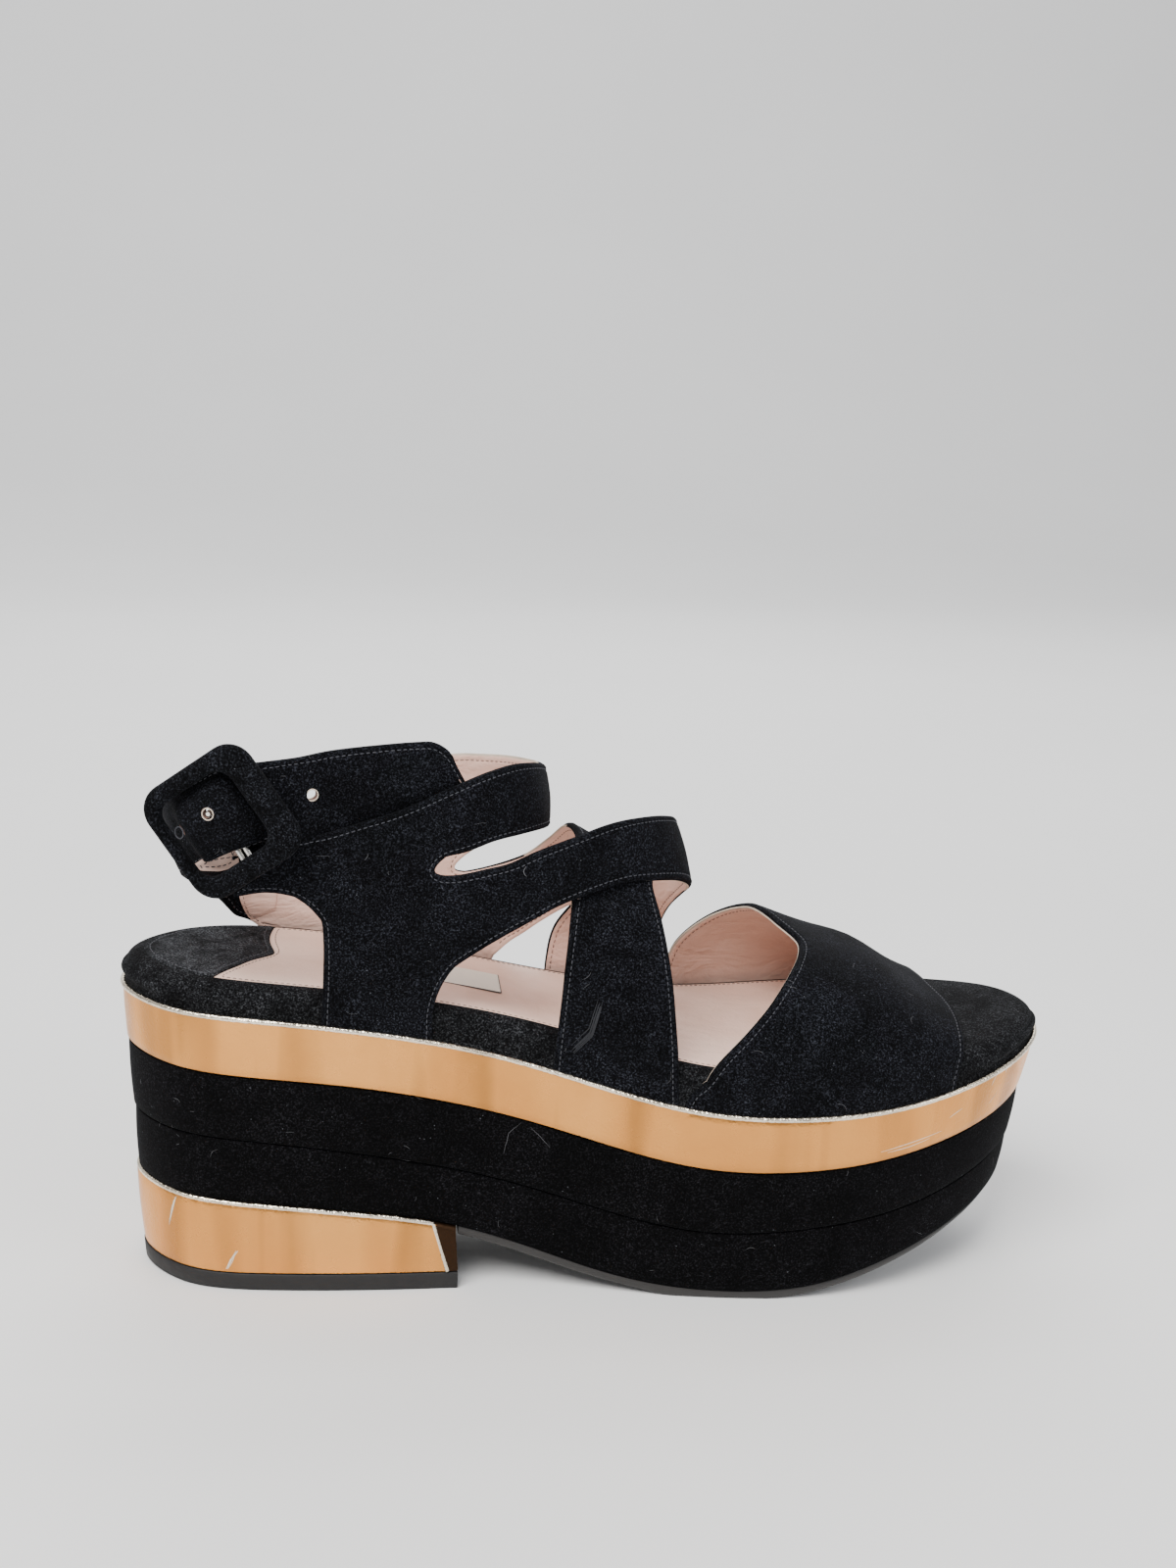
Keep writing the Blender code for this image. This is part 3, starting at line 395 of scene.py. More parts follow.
def evenly(path, pitch, closed=False):
    """Points at an even pitch along a path, with the share of its length at each."""
    line, along = lengths(path, closed)
    count = max(2, int(round(along[-1] / pitch)) + (0 if closed else 1))
    at = np.linspace(0, along[-1], count, endpoint=not closed)
    return between(at, along, line), at / along[-1]


def headings(path, closed):
    """Direction of a path at each of its points."""
    after, before = np.roll(path, -1, 0), np.roll(path, 1, 0)
    if not closed:
        after[-1], before[0] = path[-1], path[0]
    return unit(after - before)


def circles(centres, radius, across, up, sides, flat=1.0):
    """A ring of points round each centre."""
    a = turns(sides)[None, :, None]
    return centres[:, None] + radius * (np.cos(a) * across[:, None] + flat * np.sin(a) * up[:, None])


def tube_of(path, radius, sides=10, closed=True, up=(0, 0, 1.0), flat=1.0):
    """Tube along a path; flat under 1 thins it along up."""
    n = len(path)
    t = headings(path, closed)
    side = unit(np.cross(t, np.broadcast_to(up, t.shape)))
    points = circles(path, np.broadcast_to(radius, (n,))[:, None, None], side, np.cross(side, t), sides, flat)
    faces = [(a, d, c, b) for a, b, c, d in grid_faces(n, sides, 0, closed, True)]
    if not closed:
        faces += [tuple(range(sides)), tuple(range(n * sides - 1, (n - 1) * sides - 1, -1))]
    return points.reshape(-1, 3), faces


def joined(parts):
    points, faces, base = [], [], 0
    for p, f in parts:
        points.append(p)
        faces += [tuple(i + base for i in face) for face in f]
        base += len(p)
    return np.concatenate(points), faces


# Rings of one stitch: place along it, share of its radius, lift in diameters.
STITCH_RINGS = ((-0.5, 0.35, -0.3), (-0.34, 0.9, 0.04), (0.0, 1.0, 0.14), (0.34, 0.9, 0.04), (0.5, 0.35, -0.3))
STITCH_SIDES = 6


def stitches_of(path, normal, closed=False, pitch=1.5, length=1.05, radius=0.14, sink=0.05):
    """Short threads lying along a path, their ends dipping into the leather."""
    where, share = evenly(path, pitch, closed)
    along = lengths(path, closed)[1]
    n = unit(between(share * along[-1], along, lengths(normal, closed)[0]))
    t = headings(where, closed)
    s = unit(np.cross(n, t))
    points = []
    for u, r, lift in STITCH_RINGS:
        centres = where + t * (u * length) + n * (lift * radius * 2 + radius * 0.55 - sink)
        points.append(circles(centres, radius * r, s, n, STITCH_SIDES))
    points = np.stack(points, 1).reshape(-1, 3)
    per = len(STITCH_RINGS) * STITCH_SIDES
    one = grid_faces(len(STITCH_RINGS), STITCH_SIDES, round_cols=True)
    one += [tuple(range(STITCH_SIDES - 1, -1, -1)), tuple(range(per - STITCH_SIDES, per))]
    return points, [tuple(i * per + v for v in face) for i in range(len(where)) for face in one]


def nearest(targets, points):
    """Distance from each point to the nearest target."""
    tree = kdtree.KDTree(len(targets))
    for i, p in enumerate(targets):
        tree.insert(p, i)
    tree.balance()
    return np.array([tree.find(p)[2] for p in points])


def in_scene(name, data):
    """A new object that shows the data."""
    obj = bpy.data.objects.new(name, data)
    bpy.context.scene.collection.objects.link(obj)
    return obj


def mesh_object(name, points, faces, materials):
    """A new mesh object, its points in metres."""
    mesh = bpy.data.meshes.new(name)
    mesh.from_pydata(points, [], [list(map(int, f)) for f in faces])
    for m in materials:
        mesh.materials.append(m)
    return in_scene(name, mesh)


def mesh_piece(name, body, materials, slot, index=None, angle=50.0, replaced=False):
    """A piece of the object from (points, faces); replaced hides the CAD node named as the slot."""
    obj = mesh_object(name, pos(body[0]).tolist(), body[1], materials)
    if index is not None:
        obj.data.polygons.foreach_set("material_index", np.asarray(index, np.int32))
    obj.data.update()
    obj.data.shade_smooth()
    obj.data.set_sharp_from_angle(angle=math.radians(angle))
    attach(obj, "root")
    if replaced:
        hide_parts(slot)
    return obj


# Materials.
class Net:
    """A new material, with short ways to build its nodes."""

    def __init__(self, name, rough, metal=0.0, specular=0.5, sheen=0.0, sheen_rough=0.5, sheen_tint=(1, 1, 1)):
        self.material = bpy.data.materials.new(name)
        self.material.use_nodes = True
        self.tree = self.material.node_tree
        self.shader = self.tree.nodes["Principled BSDF"]
        self.shader.inputs["Roughness"].default_value = rough
        self.shader.inputs["Metallic"].default_value = metal
        self.shader.inputs["Specular IOR Level"].default_value = specular
        self.shader.inputs["Sheen Weight"].default_value = sheen
        self.shader.inputs["Sheen Roughness"].default_value = sheen_rough
        self.shader.inputs["Sheen Tint"].default_value = (*sheen_tint, 1)
        self.where = self.tree.nodes.new("ShaderNodeTexCoord").outputs["Object"]

    def node(self, kind, sockets, **settings):
        """A new node; each of its sockets gets a link or a value."""
        n = self.tree.nodes.new("ShaderNode" + kind)
        for key, value in settings.items():
            setattr(n, key, value)
        for key, value in sockets.items():
            if isinstance(value, bpy.types.NodeSocket):
                self.tree.links.new(value, n.inputs[key])
            else:
                n.inputs[key].default_value = value
        return n

    def link(self, value, socket):
        self.tree.links.new(value, self.shader.inputs[socket])

    def stretched(self, *scale):
        return self.node("Mapping", {"Vector": self.where, "Scale": scale}).outputs["Vector"]

    def noise(self, scale, detail=3.0, rough=0.55, vector=None, distortion=0.0):
        return self.node("TexNoise", {"Vector": vector or self.where, "Scale": scale, "Detail": detail,
                                      "Roughness": rough, "Distortion": distortion}).outputs["Fac"]

    def cells(self, scale):
        return self.node("TexVoronoi", {"Vector": self.where, "Scale": scale}).outputs["Distance"]

    def ramp(self, value, *stops):
        n = self.node("ValToRGB", {"Fac": value})
        while len(n.color_ramp.elements) < len(stops):
            n.color_ramp.elements.new(0.5)
        for e, (at, colour) in zip(n.color_ramp.elements, stops):
            e.position = at
            e.color = (*colour, 1) if isinstance(colour, tuple) else (colour, colour, colour, 1)
        return n.outputs["Color"]

    def mix(self, factor, a, b, how="MIX"):
        a, b = ((*v, 1) if isinstance(v, tuple) else v for v in (a, b))
        return self.node("Mix", {0: factor, 6: a, 7: b}, data_type="RGBA", blend_type=how).outputs[2]

    def bump(self, height, strength, distance, under=None):
        sockets = {"Height": height, "Strength": strength, "Distance": distance}
        if under is not None:
            sockets["Normal"] = under
        n = self.node("Bump", sockets)
        self.link(n.outputs["Normal"], "Normal")
        return n.outputs["Normal"]


def suede(name, dark, mid, light, patch=70.0, worn=0.40):
    """Nap of fine bright and dark fibres, brushed in patches, with a few specks of lint."""
    n = Net(name, 0.95, specular=0.08, sheen=0.012, sheen_rough=0.4, sheen_tint=(0.85, 0.88, 1.0))
    fibre, coarse = n.noise(2100.0, 3.0, 0.75), n.noise(950.0, 3.0, 0.6)
    brushed = n.noise(patch, 4.0, 0.55, distortion=0.9)
    base = n.ramp(fibre, (0.38, dark), (0.52, mid), (0.68, light))
    base = n.mix(1.0, base, n.ramp(coarse, (0.35, 0.55), (0.68, 1.0)), "MULTIPLY")
    base = n.mix(1.0, base, n.ramp(brushed, (0.36, worn), (0.66, 1.0)), "MULTIPLY")
    specks, shown = n.ramp(n.cells(820.0), (0.08, 1.0), (0.14, 0.0)), n.ramp(n.noise(260.0, 1.0), (0.62, 0.0), (0.68, 0.5))
    dots = n.node("Math", {0: specks, 1: shown}, operation="MULTIPLY").outputs[0]
    n.link(n.mix(dots, base, (0.17, 0.18, 0.20)), "Base Color")
    n.bump(fibre, 0.5, 0.0003, n.bump(coarse, 0.25, 0.0004))
    return n.material


def gold_leather(name, base, reflected_dark, rough=0.30, metal=0.92, grain=0.25, wave=0.3):
    """Foil-like leather: fine grain and soft waves, with reflections painted into its colour as a cloudy darker tone
    and upright darker bands.
    """
    n = Net(name, rough, metal=metal)
    # Painted reflections: clouds of a darker tone, stretched upright.
    reflection_cloud = n.noise(1.0, 2.0, 0.5, n.stretched(38.0, 38.0, 12.0), 0.3)
    upright = n.noise(1.0, 1.5, 0.5, n.stretched(80.0, 80.0, 6.0), 0.4)
    tone = n.mix(n.ramp(reflection_cloud, (0.38, 0.0), (0.64, 1.0)), base, reflected_dark)
    darker = tuple(0.62 * c for c in reflected_dark)
    # Painted reflections: upright darker bands in the shine.
    n.link(n.mix(n.ramp(upright, (0.53, 0.0), (0.68, 0.75)), tone, darker), "Base Color")
    n.link(n.ramp(n.noise(170.0), (0.3, rough - 0.06), (0.75, rough + 0.10)), "Roughness")
    fine = n.bump(n.noise(1150.0, 3.0, 0.6), grain, 0.0003)
    n.bump(n.noise(60.0, 2.0, 0.5), wave, 0.0012, n.bump(n.cells(1300.0), grain * 0.9, 0.0003, fine))
    return n.material


def pink_leather(name, base, shade, fine=0.25):
    """Smooth lining leather with pores, fine wrinkles and wider creases across the shoe."""
    n = Net(name, 0.48, specular=0.4, sheen=0.1)
    n.link(n.mix(n.ramp(n.noise(45.0, 4.0, 0.6), (0.35, 0.0), (0.72, 1.0)), base, shade), "Base Color")
    n.link(n.ramp(n.noise(200.0), (0.3, 0.42), (0.75, 0.58)), "Roughness")
    wrinkle = n.noise(260.0, 5.0, 0.65, n.stretched(0.35, 1.0, 1.0), 0.6)
    crease = n.noise(75.0, 3.0, 0.6, n.stretched(0.7, 1.0, 1.6), 1.2)
    n.bump(wrinkle, fine, 0.0006, n.bump(crease, fine * 1.2, 0.002, n.bump(n.cells(1100.0), 0.2, 0.0003)))
    return n.material


def plain(name, colour, rough, metal=0.0, grain=1200.0, strength=0.15, vary=0.12):
    """One colour in uneven tones, with a fine grain."""
    n = Net(name, rough, metal=metal)
    darker = tuple(c * (1 - vary) for c in colour)
    n.link(n.mix(n.ramp(n.noise(160.0, 4.0), (0.3, 0.0), (0.75, 1.0)), colour, darker), "Base Color")
    n.link(n.ramp(n.noise(300.0), (0.3, rough - 0.04), (0.75, min(1.0, rough + 0.08))), "Roughness")
    n.bump(n.noise(grain), strength, 0.0003)
    return n.material


STRAP_SUEDE = suede("strap_suede", (0.0005, 0.0005, 0.0008), (0.0042, 0.0045, 0.0065), (0.048, 0.052, 0.067))
# The platform's suede is the strap suede made darker: painted shade on the sides of the platform.
SOLE_SUEDE_PAINTED_SHADE = suede("sole_suede_painted_shade", (0.0002, 0.0002, 0.0003), (0.0013, 0.0013, 0.0016), (0.026, 0.025, 0.030), 55.0)
FOOTBED_SUEDE = suede("footbed_suede", (0.001, 0.001, 0.0012), (0.0112, 0.0116, 0.013), (0.086, 0.090, 0.098), 100.0, 0.3)
PAD_SUEDE = suede("pad_suede", (0.0040, 0.0042, 0.0048), (0.042, 0.044, 0.050), (0.19, 0.20, 0.215), 150.0, 0.16)
BUCKLE_SUEDE = suede("buckle_suede", (0.0004, 0.0004, 0.0007), (0.0042, 0.0046, 0.0062), (0.052, 0.056, 0.070), 110.0, 0.25)
GOLD = gold_leather("gold_leather", (0.85, 0.385, 0.098), (0.70, 0.295, 0.070))
# Gold leather painted near black: painted shade for the front face of the heel.
HEEL_FRONT_PAINTED_SHADE = gold_leather("gold_painted_shade", (0.045, 0.022, 0.010), (0.02, 0.010, 0.006), rough=0.4)
PIPING = gold_leather("bright_piping", (0.93, 0.85, 0.70), (0.88, 0.77, 0.60), rough=0.2, metal=1.0, grain=0.5, wave=0.5)
PINK = pink_leather("pink_leather", (0.80, 0.575, 0.475), (0.70, 0.465, 0.365))
LINING = pink_leather("pink_lining", (0.76, 0.53, 0.44), (0.66, 0.42, 0.335), fine=0.4)
RAW_EDGE = plain("raw_edge", (0.62, 0.52, 0.42), 0.8, vary=0.3)
THREAD = plain("black_thread", (0.040, 0.042, 0.052), 0.6, grain=3000.0, strength=0.3)
PINK_THREAD = plain("pink_thread", (0.20, 0.135, 0.115), 0.6, grain=3000.0, strength=0.3)
RUBBER = plain("heel_rubber", (0.0050, 0.0046, 0.0050), 0.62, grain=900.0, strength=0.3)
TREAD_RUBBER = plain("outsole_rubber", (0.02, 0.018, 0.017), 0.5, grain=700.0, strength=0.25)
HOLE_EDGE = plain("hole_edge", (0.26, 0.15, 0.12), 0.8, vary=0.4)
FLUFF = plain("pale_fluff", (0.13, 0.13, 0.14), 0.9, vary=0.3)
SCUFF = plain("scuffed_nap", (0.015, 0.016, 0.020), 0.9, vary=0.3)
WORN_FOIL = plain("worn_foil", (0.80, 0.72, 0.58), 0.5, metal=0.4, vary=0.2)
STEEL = plain("polished_steel", (0.75, 0.73, 0.68), 0.22, metal=1.0, strength=0.05, vary=0.05)
LABEL = plain("label_patch", (0.80, 0.78, 0.69), 0.6, grain=2200.0, strength=0.3, vary=0.08)


# The sole: each piece is a stack of levels, as the arguments of level().
def ring_of(rungs):
    """One level as a closed outline: up the outer side, back down the inner."""
    return np.concatenate([rungs[:, 0], rungs[::-1, 1]])


def body_of(levels):
    """Closed body through the levels, as points and faces."""
    loops = [level(*entry) for entry in levels]
    n = len(loops[0])
    size = 2 * n
    faces = grid_faces(len(loops), size, round_cols=True)
    last = (len(loops) - 1) * size
    for i in range(n - 1):
        a, b, c, d = i, i + 1, size - 2 - i, size - 1 - i
        faces += [(a, d, c, b), (last + a, last + b, last + c, last + d)]
    return np.concatenate([ring_of(rungs) for rungs in loops]), faces


def sole_piece(name, levels, mat, slot):
    mesh_piece(name, body_of(levels), [mat], slot, replaced=True)


HEEL_FACE = HEEL_END + 0.6    # the front of the heel stands upright
BLOCK_FOOT = HEEL_LIFT + GAP + 0.5
under_black = less(black_bottom, GAP)
sole_piece("heel_top_rubber", [
    (3.2, 0.0, 2.6, 0.0, HEEL_FACE - 0.4), (2.8, 0.35, 2.6, 0.0, HEEL_FACE - 0.1),
    (2.6, HEEL_LIFT - 0.25, 2.4, 0.0, HEEL_FACE), (2.8, HEEL_LIFT, 2.4, 0.0, HEEL_FACE - 0.2)], RUBBER, "heel_top_piece")
block = [(2.9, HEEL_LIFT + GAP, 2.4, 0.0, HEEL_FACE - 0.3), (2.7, BLOCK_FOOT, 2.4, 0.0, HEEL_FACE)]
for t in np.arange(1, 8) / 8:
    block.append((2.7 - 0.4 * t - 0.25 * math.sin(math.pi * t),
                  lambda x, t=t: BLOCK_FOOT + (under_black(x) - 1.5 - BLOCK_FOOT) * t, 2.4 - 1.4 * t, 0.0, HEEL_FACE))
block += [(2.3, less(under_black, 1.5), 1.0, 0.0, HEEL_FACE), (2.6, less(under_black, 0.4), 1.1, 0.0, HEEL_FACE),
          (3.3, under_black, 1.6, 0.0, HEEL_FACE - 0.3)]
# The piping slants down the heel from PIPING_TOP, and the leather in front of it is painted dark as shade.
PIPING_TOP, PIPING_FOOT = 80.6, 84.4


def in_front(p):
    """True past the slanting piping at the front of the heel."""
    share = np.clip((p[..., 2] - HEEL_LIFT) / (float(under_black(PIPING_TOP)) - HEEL_LIFT), 0, 1)
    return p[..., 0] > PIPING_FOOT + (PIPING_TOP - PIPING_FOOT) * share


body = body_of(block)
front = []
for face in body[1]:
    at = body[0][list(face)]
    front.append(int(in_front(at.mean(0))) if np.ptp(at[:, 1]) < 20 or at[:, 0].min() > 80 else 0)
# Faces in front of the piping get the painted-shade gold.
mesh_piece("heel_block_leather", body, [GOLD, HEEL_FRONT_PAINTED_SHADE], "heel_block", front, replaced=True)
sole_piece("outsole_sheet", [
    (4.3, tread, 0.0, 4.6, None, OUTSOLE_START + 0.4), (3.9, less(tread, -0.4), 0.0, 4.6, None, OUTSOLE_START),
    (3.5, less(under_black, 0.5), 0.0, 4.4, None, OUTSOLE_START), (3.7, under_black, 0.0, 4.4, None, OUTSOLE_START)],
    TREAD_RUBBER, "outsole")


def side_levels(low, high, insets, heel, toe, belly=0.25):
    """Levels of a layer from low to high, slightly bellied, with rounded edges."""
    (inset_low, inset_high), steps = insets, 7
    made = [(inset_low + 0.35, low, heel[0], toe[0])]
    for k in range(steps + 1):
        t = k / steps
        made.append((inset_low + (inset_high - inset_low) * t - belly * math.sin(math.pi * t),
                     lambda x, t=t: low(x) + 0.3 + (high(x) - low(x) - 0.6) * t,
                     heel[0] + (heel[1] - heel[0]) * t, toe[0] + (toe[1] - toe[0]) * t))
    return made + [(inset_high + 0.35, high, heel[1], toe[1])]


sole_piece("lower_layer", side_levels(black_bottom, less(step, GAP / 2), (3.1, 2.3), (0.7, 0.8), (4.0, 3.4)),
           SOLE_SUEDE_PAINTED_SHADE, "platform_lower")
sole_piece("upper_layer", side_levels(less(step, -GAP / 2), less(gold_bottom, GAP), (1.9, 0.9), (0.7, 0.5), (3.2, 2.6)),
           SOLE_SUEDE_PAINTED_SHADE, "platform_upper")
sole_piece("gold_band", side_levels(gold_bottom, less(gold_top, 0.1), (0.5, 0.05), (0.5, 0.0), (2.5, 0.0), belly=0.12),
           GOLD, "platform_band")


def open_toe(x):
    """1 where the sock lies in the footbed, 0 forward of it."""
    return np.clip((SOCK_END + 1.2 - x) / 0.8, 0, 1)


rolled = [(0.8, less(gold_top, -0.02), -0.1, -0.1), (0.85, less(gold_top, -0.3), -0.2, -0.2),
          (0.9, less(gold_top, -1.0), -0.3, -0.3)]
for k in range(7):
    swollen = math.sin(math.pi * (k + 1) / 9)
    rolled.append((1.55 - 0.35 * swollen,
                   lambda x, t=k / 6: gold_top(x) + 2.0 + (footbed_top(x) - 3.7 - gold_top(x) - 2.0) * t,
                   -0.3 - 1.3 * swollen, -0.3 - 1.1 * swollen))
for v in np.linspace(0, math.pi / 2, 11):
    rolled.append((1.65 + 4.0 * (1 - math.cos(v)) ** 0.9, lambda x, s=math.sin(v): footbed_top(x) - 3.4 * (1 - s),
                   -0.7 * math.cos(v), -0.6 * math.cos(v)))
for inset, fall, rise in (
        (0.25, 0.0, 0.05), (0.5, 0.6, 0.08), (1.0, 1.3, 0.14), (4.0, 1.3, 0.4), (9.0, 1.3, 0.65), (15.0, 1.3, 0.8)):
    rolled.append((SOCK_INSET + inset, lambda x, fall=fall, rise=rise:
                   footbed_top(x) - fall * open_toe(x) + rise * (1 - open_toe(x))))
sole_piece("footbed_wrap", rolled, FOOTBED_SUEDE, "footbed")

ring, _ = evenly(ring_of(level(0.05, less(gold_top, 0.1), count=260)), 0.9, closed=True)
mesh_piece("band_piping", tube_of(ring, 0.74), [PIPING], "platform_band")
heel_rungs = level(2.65, less(under_black, 0.15), 1.2, 0.0, HEEL_FACE)
sides = [heel_rungs[heel_rungs[:, k, 0] < PIPING_TOP, k] for k in (0, 1)]
ring, _ = evenly(np.concatenate([sides[0][::-1], sides[1]]), 0.9)
mesh_piece("heel_piping", tube_of(ring, 0.68, closed=False), [PIPING], "heel_block")
for which, top_end, name in ((0, ring[0], "heel_front_piping_outer"), (1, ring[-1], "heel_front_piping_inner")):
    t = np.linspace(0, 1, 30)
    x = np.linspace(top_end[0], PIPING_FOOT, 30)
    y = np.array([plan(2.15 + 0.5 * v)[which](u) for u, v in zip(x, t)])
    upright = np.stack([x, y + (top_end[1] - y[0]) * (1 - t), top_end[2] + (HEEL_LIFT + 0.5 - top_end[2]) * t], 1)
    mesh_piece(name, tube_of(upright, 0.55, closed=False, up=(1.0, 0, 0)), [PIPING], "heel_block")


# Leather sheets, built on grids of points of their outer face.
def foot_line(x):
    return gold_top(x) + 0.18


def trimmed(grid):
    """Grid whose columns stop on the gold band: rows past it fold onto the crossing point."""
    g = grid.copy()
    rows = len(g)
    for order in (range(rows - 1, -1, -1), range(rows)):
        half = list(order)[rows // 2:]
        for c in range(g.shape[1]):
            for k, r in enumerate(half[1:], 1):
                above, here = g[half[k - 1], c], g[r, c]
                gap = here[2] - foot_line(here[0])
                if gap >= 0:
                    continue
                before = above[2] - foot_line(above[0])
                share = before / (before - gap) if before > 0 else 0.0
                g[half[k:], c] = above + (here - above) * share
                break
    return g


def columns(width):
    """Distances across a strap from one edge, closer together near both edges."""
    scale = np.minimum(1.0, width / 8.0)[:, None]
    left = np.array(SHELL_EDGES)[None] * scale
    middle = 3.0 * scale + (width[:, None] - 6.0 * scale) * np.linspace(0, 1, 13)[None, 1:-1]
    return np.concatenate([left, middle, width[:, None] - left[:, ::-1]], 1)


def strap_grid(upper, lower):
    """Grid between two edges, with columns for a stitched, rounded edge and a slight crown."""
    width = np.linalg.norm(upper - lower, axis=1)
    t = (columns(width) / width[:, None])[..., None]
    grid = lower[:, None] * (1 - t) + upper[:, None] * t
    along = np.gradient(grid, axis=0)
    over = np.broadcast_to((upper - lower)[:, None], grid.shape)
    return grid + unit(np.cross(over, along)) * 8 * t**2 * (1 - t) ** 2


def no_marks(grid):
    return np.zeros((grid.shape[0] - 1, grid.shape[1] - 1), int)


def welded(grids, marks):
    """Points and faces of grids whose common seam points are made one, with the mark of each face."""
    points, faces, tags, base = [], [], [], 0
    for grid, mark in zip(grids, marks):
        rows, cols = grid.shape[:2]
        faces.append(np.array(grid_faces(rows, cols, base)))
        tags.append(mark.reshape(-1))
        points.append(grid.reshape(-1, 3))
        base += rows * cols
    points, faces, tags = np.concatenate(points), np.concatenate(faces), np.concatenate(tags)
    cells = np.round(points / 0.004).astype(np.int64)
    _, first, index = np.unique(cells, axis=0, return_index=True, return_inverse=True)
    points, faces = points[first], index.reshape(-1)[faces]
    kept, kept_tags = [], []
    for face, tag in zip(faces.tolist(), tags.tolist()):
        once = [v for i, v in enumerate(face) if v != face[i - 1]]
        if len(set(once)) == len(once) >= 3:
            kept.append(once)
            kept_tags.append(tag)
    return points, kept, np.array(kept_tags)


def normals_of(points, faces):
    n = np.zeros_like(points)
    for size in (3, 4):
        group = np.array([f for f in faces if len(f) == size])
        if len(group):
            flat = np.cross(points[group[:, 2]] - points[group[:, 0]], points[group[:, -1]] - points[group[:, 1]])
            for c in range(size):
                np.add.at(n, group[:, c], flat)
    return unit(n)


def rims(faces):
    """Boundary loops, each in the winding order of its faces."""
    seen = {(a, f[(i + 1) % len(f)]): True for f in faces for i, a in enumerate(f)}
    after = {}
    for a, b in seen:
        if (b, a) not in seen:
            after.setdefault(a, []).append(b)
    loops = []
    while after:
        ring, at = [], next(iter(after))
        while at in after:
            ring.append(at)
            following = after[at].pop(0)
            if not after[at]:
                del after[at]
            at = following
        loops.append(np.array(ring))
    return loops


def eased(points, faces, near, rounds=25):
    """Smooths the vertices picked by near, weighting neighbours by closeness."""
    pairs = np.array(list({(min(f[i], f[i - 1]), max(f[i], f[i - 1])) for f in faces for i in range(len(f))}))
    for _ in range(rounds):
        w = 1 / (np.linalg.norm(points[pairs[:, 0]] - points[pairs[:, 1]], axis=1) + 0.05)
        total, weight = np.zeros_like(points), np.zeros(len(points))
        for a, b in ((0, 1), (1, 0)):
            np.add.at(total, pairs[:, a], points[pairs[:, b]] * w[:, None])
            np.add.at(weight, pairs[:, a], w)
        points = np.where(near[:, None], points * 0.5 + total / weight[:, None] * 0.5, points)
    return points


def runs(wanted):
    """Stretches of a loop where wanted holds, as lists of indices; a whole loop comes back closed."""
    if wanted.all():
        return [(list(range(len(wanted))), True)]
    start = int(np.argmin(wanted))
    found, current = [], []
    for i in [*((start + i) % len(wanted) for i in range(len(wanted))), start]:
        if wanted[i]:
            current.append(i)
        elif current:
            found.append((current, False))
            current = []
    return [r for r in found if len(r[0]) > 6]


def softened(path, times, closed):
    for _ in range(times):
        if closed:
            path = (np.roll(path, 1, 0) + 2 * path + np.roll(path, -1, 0)) / 4
        else:
            path = np.concatenate([path[:1], (path[:-2] + 2 * path[1:-1] + path[2:]) / 4, path[-1:]])
    return path


SMOOTH_WITHIN = 4.0       # mm round a strap junction, where the rim is smoothed
SEAM_WITHIN = 5.0         # mm round a shared seam, where the face is smoothed
RAW_PROUD = 0.5           # the lining's cut edge stands this far out


